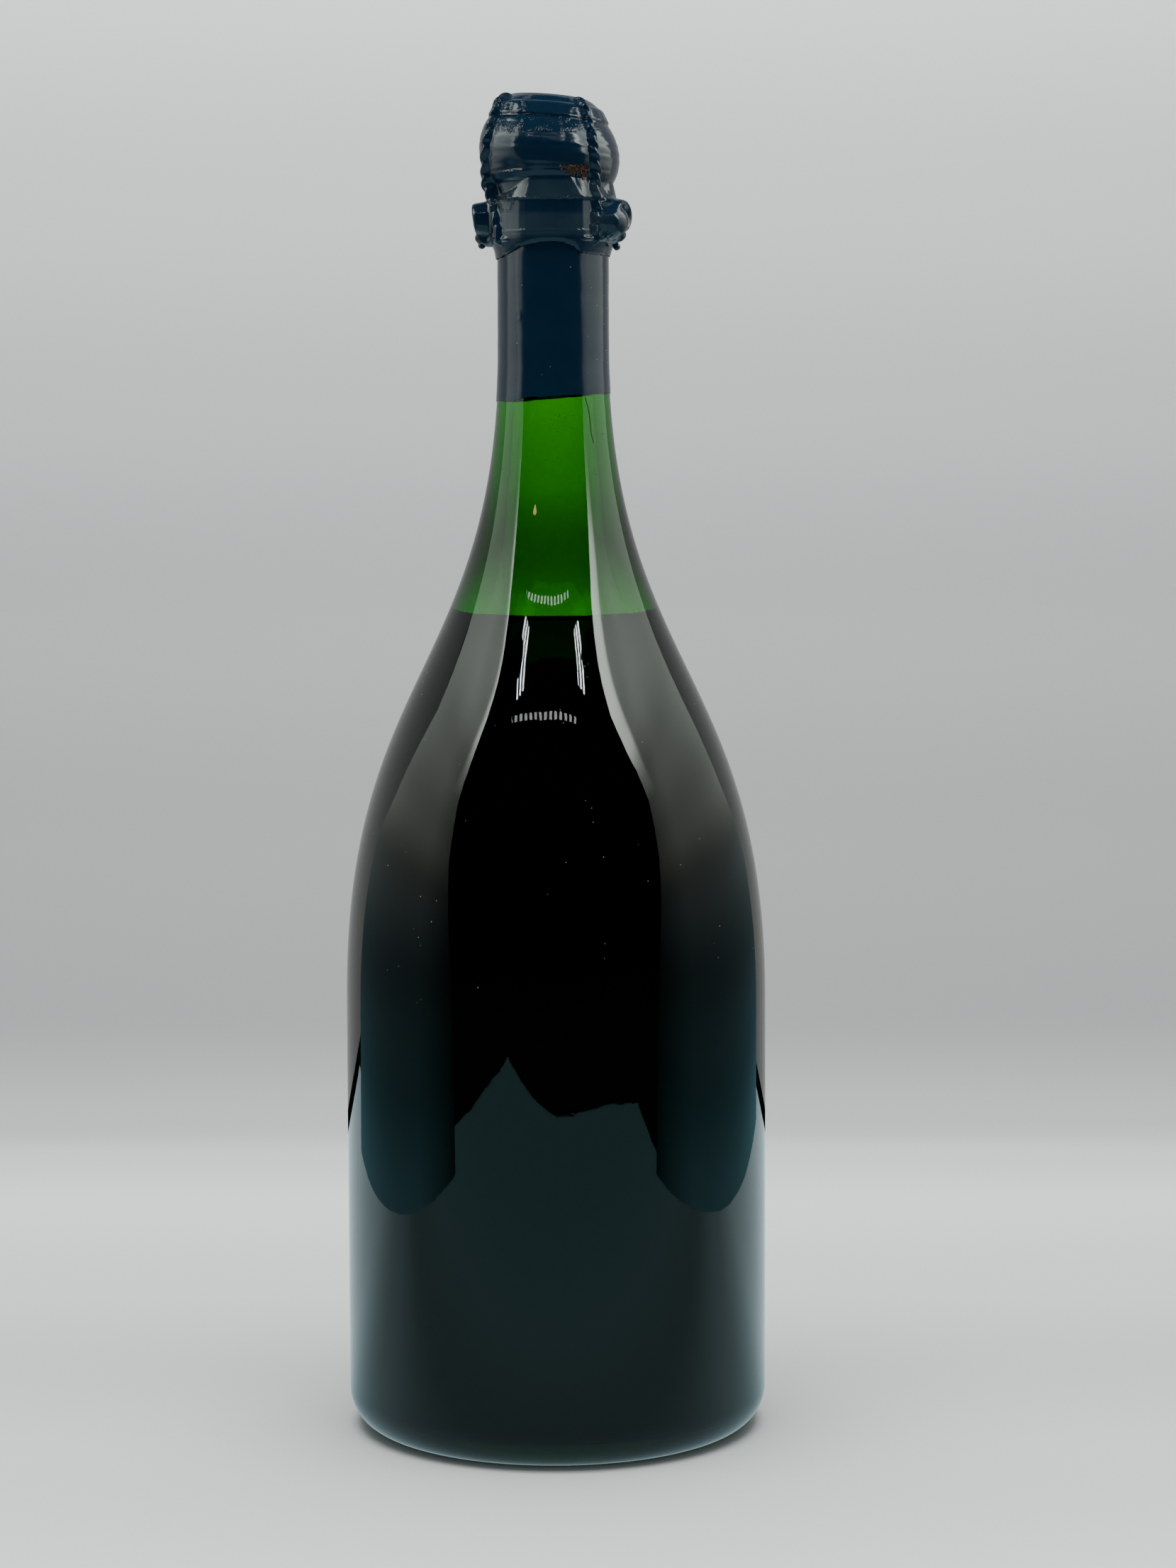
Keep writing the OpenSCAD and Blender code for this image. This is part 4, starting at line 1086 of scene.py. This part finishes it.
def make_cap():
    """The pressed tinplate cap, with the legs' notches in its edge."""
    top = HEAD_TOP + 5.4
    over = spline([(0, top + 0.5), (4.6, top + 0.35), (8.2, top + 0.06), (9.0, top - 0.25),
                   (9.6, GROOVE_Z + 0.1), (10.6, GROOVE_Z - 0.05), (11.9, GROOVE_Z), (13.3, GROOVE_Z + 0.2),
                   (14.3, GROOVE_Z - 0.2), (14.9, HEAD_TOP + 2.5), (15.7, HEAD_TOP + 1.0),
                   (16.42, HEAD_TOP - 0.7)], 44)
    way = np.gradient(over, axis=0)
    way /= np.linalg.norm(way, axis=1)[:, None]
    inside = (over + CAP_T * np.stack([way[:, 1], -way[:, 0]], 1))
    inside[0, 0] = 0
    inside = inside[inside[:, 0] >= 0]

    def notched(azimuth, r, z):
        notch = sum(hill(wrapped(azimuth - k), 0, 4) for k in LEG_AZIMUTHS)
        crimp = 0.05 * np.cos(np.radians(azimuth) * 36) * smooth_step((r - 14.8) / 1.2)
        return r + crimp, z - 0.12 * notch * smooth_step((r - 13.5) / 1.5)
    cap = lathe("crown_cap_sheet", np.concatenate([inside, over[::-1]]), 180, 50, notched)
    finish = Finish("tinplate", Metallic=1.0, Roughness=0.32)
    stain = finish.span(finish.noise(220, 4, 0.6), 0.45, 0.7)
    finish.set("Base Color", finish.mix(stain, (0.55, 0.52, 0.45, 1), (0.30, 0.24, 0.16, 1)))
    finish.set("Roughness", finish.span(stain, 0, 1, 0.28, 0.55))
    finish.set("Normal", finish.bump(finish.noise(900, 2), 0.15, 0.0001))
    paint(cap, finish)
    place(cap, "cage", ["crown_cap"], "tinplate")


def leg_azimuth(k, z):
    """Where a leg goes. The two in front follow the photograph a little closer than in CAD."""
    z = np.asarray(z, float)
    seen = ((5 * hill(z, 360, 10) - 2 * hill(z, 337, 5)) if k == 0 else
            (5 * smooth_step((z - 344) / 8) - 4 * smooth_step((343 - z) / 7)) if k == 1 else 0)
    return seen + LEG_AZIMUTHS[k] + LEG_DRIFTS[k] * smooth_step((HEAD_TOP - 8 - z) / (HEAD_TOP - 8 - LEG_LOW_Z)) \
        + LEG_BOWS[k] * np.exp(-((z - GLASS_H - 3) / 9) ** 2)


def leg_line():
    """Radius and height along a leg, from the top ring down to the belt, by length."""
    pair_out = (WIRE_D + WIRE_GAP) / 2 + WIRE_D / 2
    off = pair_out + WIRE_GAP
    low_r = max(RING_R + off, BELT_R + FOOT_ROUND)
    knots = [(10.75 + 0.75, GROOVE_Z + off), (CAP_R - 3.2, GROOVE_Z + 0.2 + off),
             (CAP_R - 1.1, HEAD_TOP + 3.4), (CAP_R + 0.2, HEAD_TOP + 1.3),
             tuple(off_head(np.array(0.93), off + 0.35))]
    knots += [tuple(off_head(np.array(t), off + 0.02)) for t in (0.82, 0.66, 0.5, 0.38)]
    knots += [(low_r + 0.15, GLASS_H - 1), (low_r, GLASS_H - 5.2), (low_r, LEG_LOW_Z)]
    line = spline(knots, 240)
    run = np.concatenate([[0], np.cumsum(np.linalg.norm(np.diff(line, axis=0), axis=1))])
    return run, line


def leg_wire(k, hand):
    """One unbroken wire: down the leg, round the belt and back up, twisted on itself."""
    run, line = leg_line()
    length, pair_r = run[-1], (WIRE_D + WIRE_GAP) / 2
    s = np.linspace(0, length, 190)

    def at(x):
        return np.stack([np.interp(x, run, line[:, 0]), np.interp(x, run, line[:, 1])], 1)

    def strand(side):
        m, v = at(s), at(np.minimum(s + 0.2, length)) - at(np.maximum(s - 0.2, 0))
        n = np.stack([-v[:, 1], v[:, 0]], 1) / np.linalg.norm(v, axis=1)[:, None]
        turn = np.radians(90 + hand * 360 * (length - s) / TWIST_PITCH)
        r = m[:, 0] + side * pair_r * np.cos(turn) * n[:, 0]
        z = m[:, 1] + side * pair_r * np.cos(turn) * n[:, 1]
        azimuth = leg_azimuth(k, m[:, 1]) + np.degrees(side * pair_r * np.sin(turn) / m[:, 0])
        return polar(r, azimuth, z)
    a = np.arange(0, 271, 15.0)
    here = leg_azimuth(k, LEG_LOW_Z)
    foot = polar(BELT_R + FOOT_ROUND * np.cos(np.radians(a)),
                 here + np.degrees(pair_r * (1 - a / 135) / BELT_R),
                 BELT_Z - FOOT_ROUND * np.sin(np.radians(a)))
    back = polar((BELT_R + FOOT_ROUND + line[-1, 0]) / 2 - 0.25, here - math.degrees(pair_r / BELT_R),
                 RING_LOW - 0.1)
    return np.concatenate([strand(1), foot, back[None, :], strand(-1)[::-1]])


def turned_by(points, azimuth, lean=0.0):
    """Points made at azimuth 0, leaned about the hinge and turned to an azimuth."""
    p = np.asarray(points, float)
    t = math.radians(lean)
    y, z = p[:, 1] + HINGE_R, p[:, 2] - BELT_Z
    p = np.stack([p[:, 0], y * math.cos(t) - z * math.sin(t) - HINGE_R,
                  y * math.sin(t) + z * math.cos(t) + BELT_Z], 1)
    a = math.radians(azimuth)
    return np.stack([p[:, 0] * math.cos(a) - p[:, 1] * math.sin(a),
                     p[:, 0] * math.sin(a) + p[:, 1] * math.cos(a), p[:, 2]], 1)


def root_wires(azimuth):
    share = np.linspace(0, 1, 20)
    wires = []
    for side in (0, 180):
        a = np.radians(side + 180 * smooth_step(share))
        wires.append(turned_by(np.stack([EYE_PAIR_R * np.cos(a), -ROOT_START - ROOT_LEN * share,
                                         BELT_Z + EYE_PAIR_R * np.sin(a)], 1), azimuth))
    return wires


def loop_wire(form):
    share = np.linspace(0, 1, 16)

    def shank(side):
        a = np.radians(side + 180 * (1 - share))
        return np.stack([EYE_PAIR_R * np.cos(a), -HINGE_R - EYE_PAIR_R * np.sin(a),
                         BELT_Z + SHANK_LEN * share], 1)
    a = np.radians(np.linspace(-76, 256, 60))
    ring = np.stack([form["width"] / 2 * np.cos(a), np.full(60, -HINGE_R),
                     BELT_Z + SHANK_LEN + EYELET_H / 2 * (1.12 + np.sin(a))], 1)
    return turned_by(np.concatenate([shank(0), ring, shank(180)[::-1]]), form["azimuth"], form["lean"])


def belt_wire():
    turns = np.arange(300) * 1.2
    holds = [leg_azimuth(k, LEG_LOW_Z) for k in range(4)] + [EYELET["azimuth"], TAKE_UP["azimuth"]]
    hold = np.max([smooth_step((20 - np.abs(wrapped(turns - a))) / 12) for a in holds], axis=0)
    return polar(BELT_IN_R + (BELT_R - BELT_IN_R) * hold, turns, BELT_Z)


def make_cage(tube):
    finish = Finish("cage_wire", Metallic=1.0, Roughness=0.35)
    rust = finish.span(finish.noise(350, 4, 0.65), 0.52, 0.66)
    finish.set("Base Color", finish.mix(rust, (0.50, 0.48, 0.44, 1), (0.16, 0.07, 0.03, 1)))
    finish.set("Roughness", finish.span(rust, 0, 1, 0.3, 0.8))
    finish.set("Normal", finish.bump(finish.noise(1800, 2), 0.2, 0.0001))
    wire = tube("cage_wire_tube", finish)
    legs = (("left", 1), ("right", -1), ("back_right", 1), ("back_left", -1))
    ring = polar(10.75, np.arange(120) * 3.0, GROOVE_Z + WIRE_D / 2 + WIRE_GAP)
    pieces = [("ring_wire", [ring], WIRE_D, True, "cage", "cage_top_ring"),
              ("belt_wire", [belt_wire()], BELT_WIRE_D, True, "cage", "cage_belt"),
              ("take_up_root_wire", root_wires(TAKE_UP["azimuth"]), BELT_WIRE_D, False, "cage",
               "take_up_root"),
              ("take_up_loop_wire", [loop_wire(TAKE_UP)], BELT_WIRE_D, False, "cage", "take_up_loop"),
              ("eyelet_root_wire", root_wires(EYELET["azimuth"]), BELT_WIRE_D, False, "eyelet_stem",
               "eyelet_root"),
              ("eyelet_loop_wire", [loop_wire(EYELET)], BELT_WIRE_D, False, "eyelet", "eyelet_loop")]
    pieces += [("leg_wire_" + side, [leg_wire(k, hand)], WIRE_D, False, "cage", "cage_leg_" + side)
               for k, (side, hand) in enumerate(legs)]
    for name, lines, size, closed, body, node in pieces:
        made = tubes(name, lines, size / 2, wire, 10, closed)
        place(made, body, [node], "cage_wire")


make_camera()
make_studio()
make_glass()
make_wine()
make_glass_marks(tube_tree)
make_cork()
make_cap()
make_cage(tube_tree)
skin = capsule_finish()
make_hood(skin)
make_crumbs()
make_top_disc(skin)
make_sleeve(skin)
for name in UNDER_THE_HOOD + ["cork_head_and_shank", "capsule_hood_skin", "capsule_eyelet_pouch",
                              "capsule_top_disc_skin", "rust_crumbs"]:
    lean_head(bpy.data.objects[name])
make_knobs(skin)
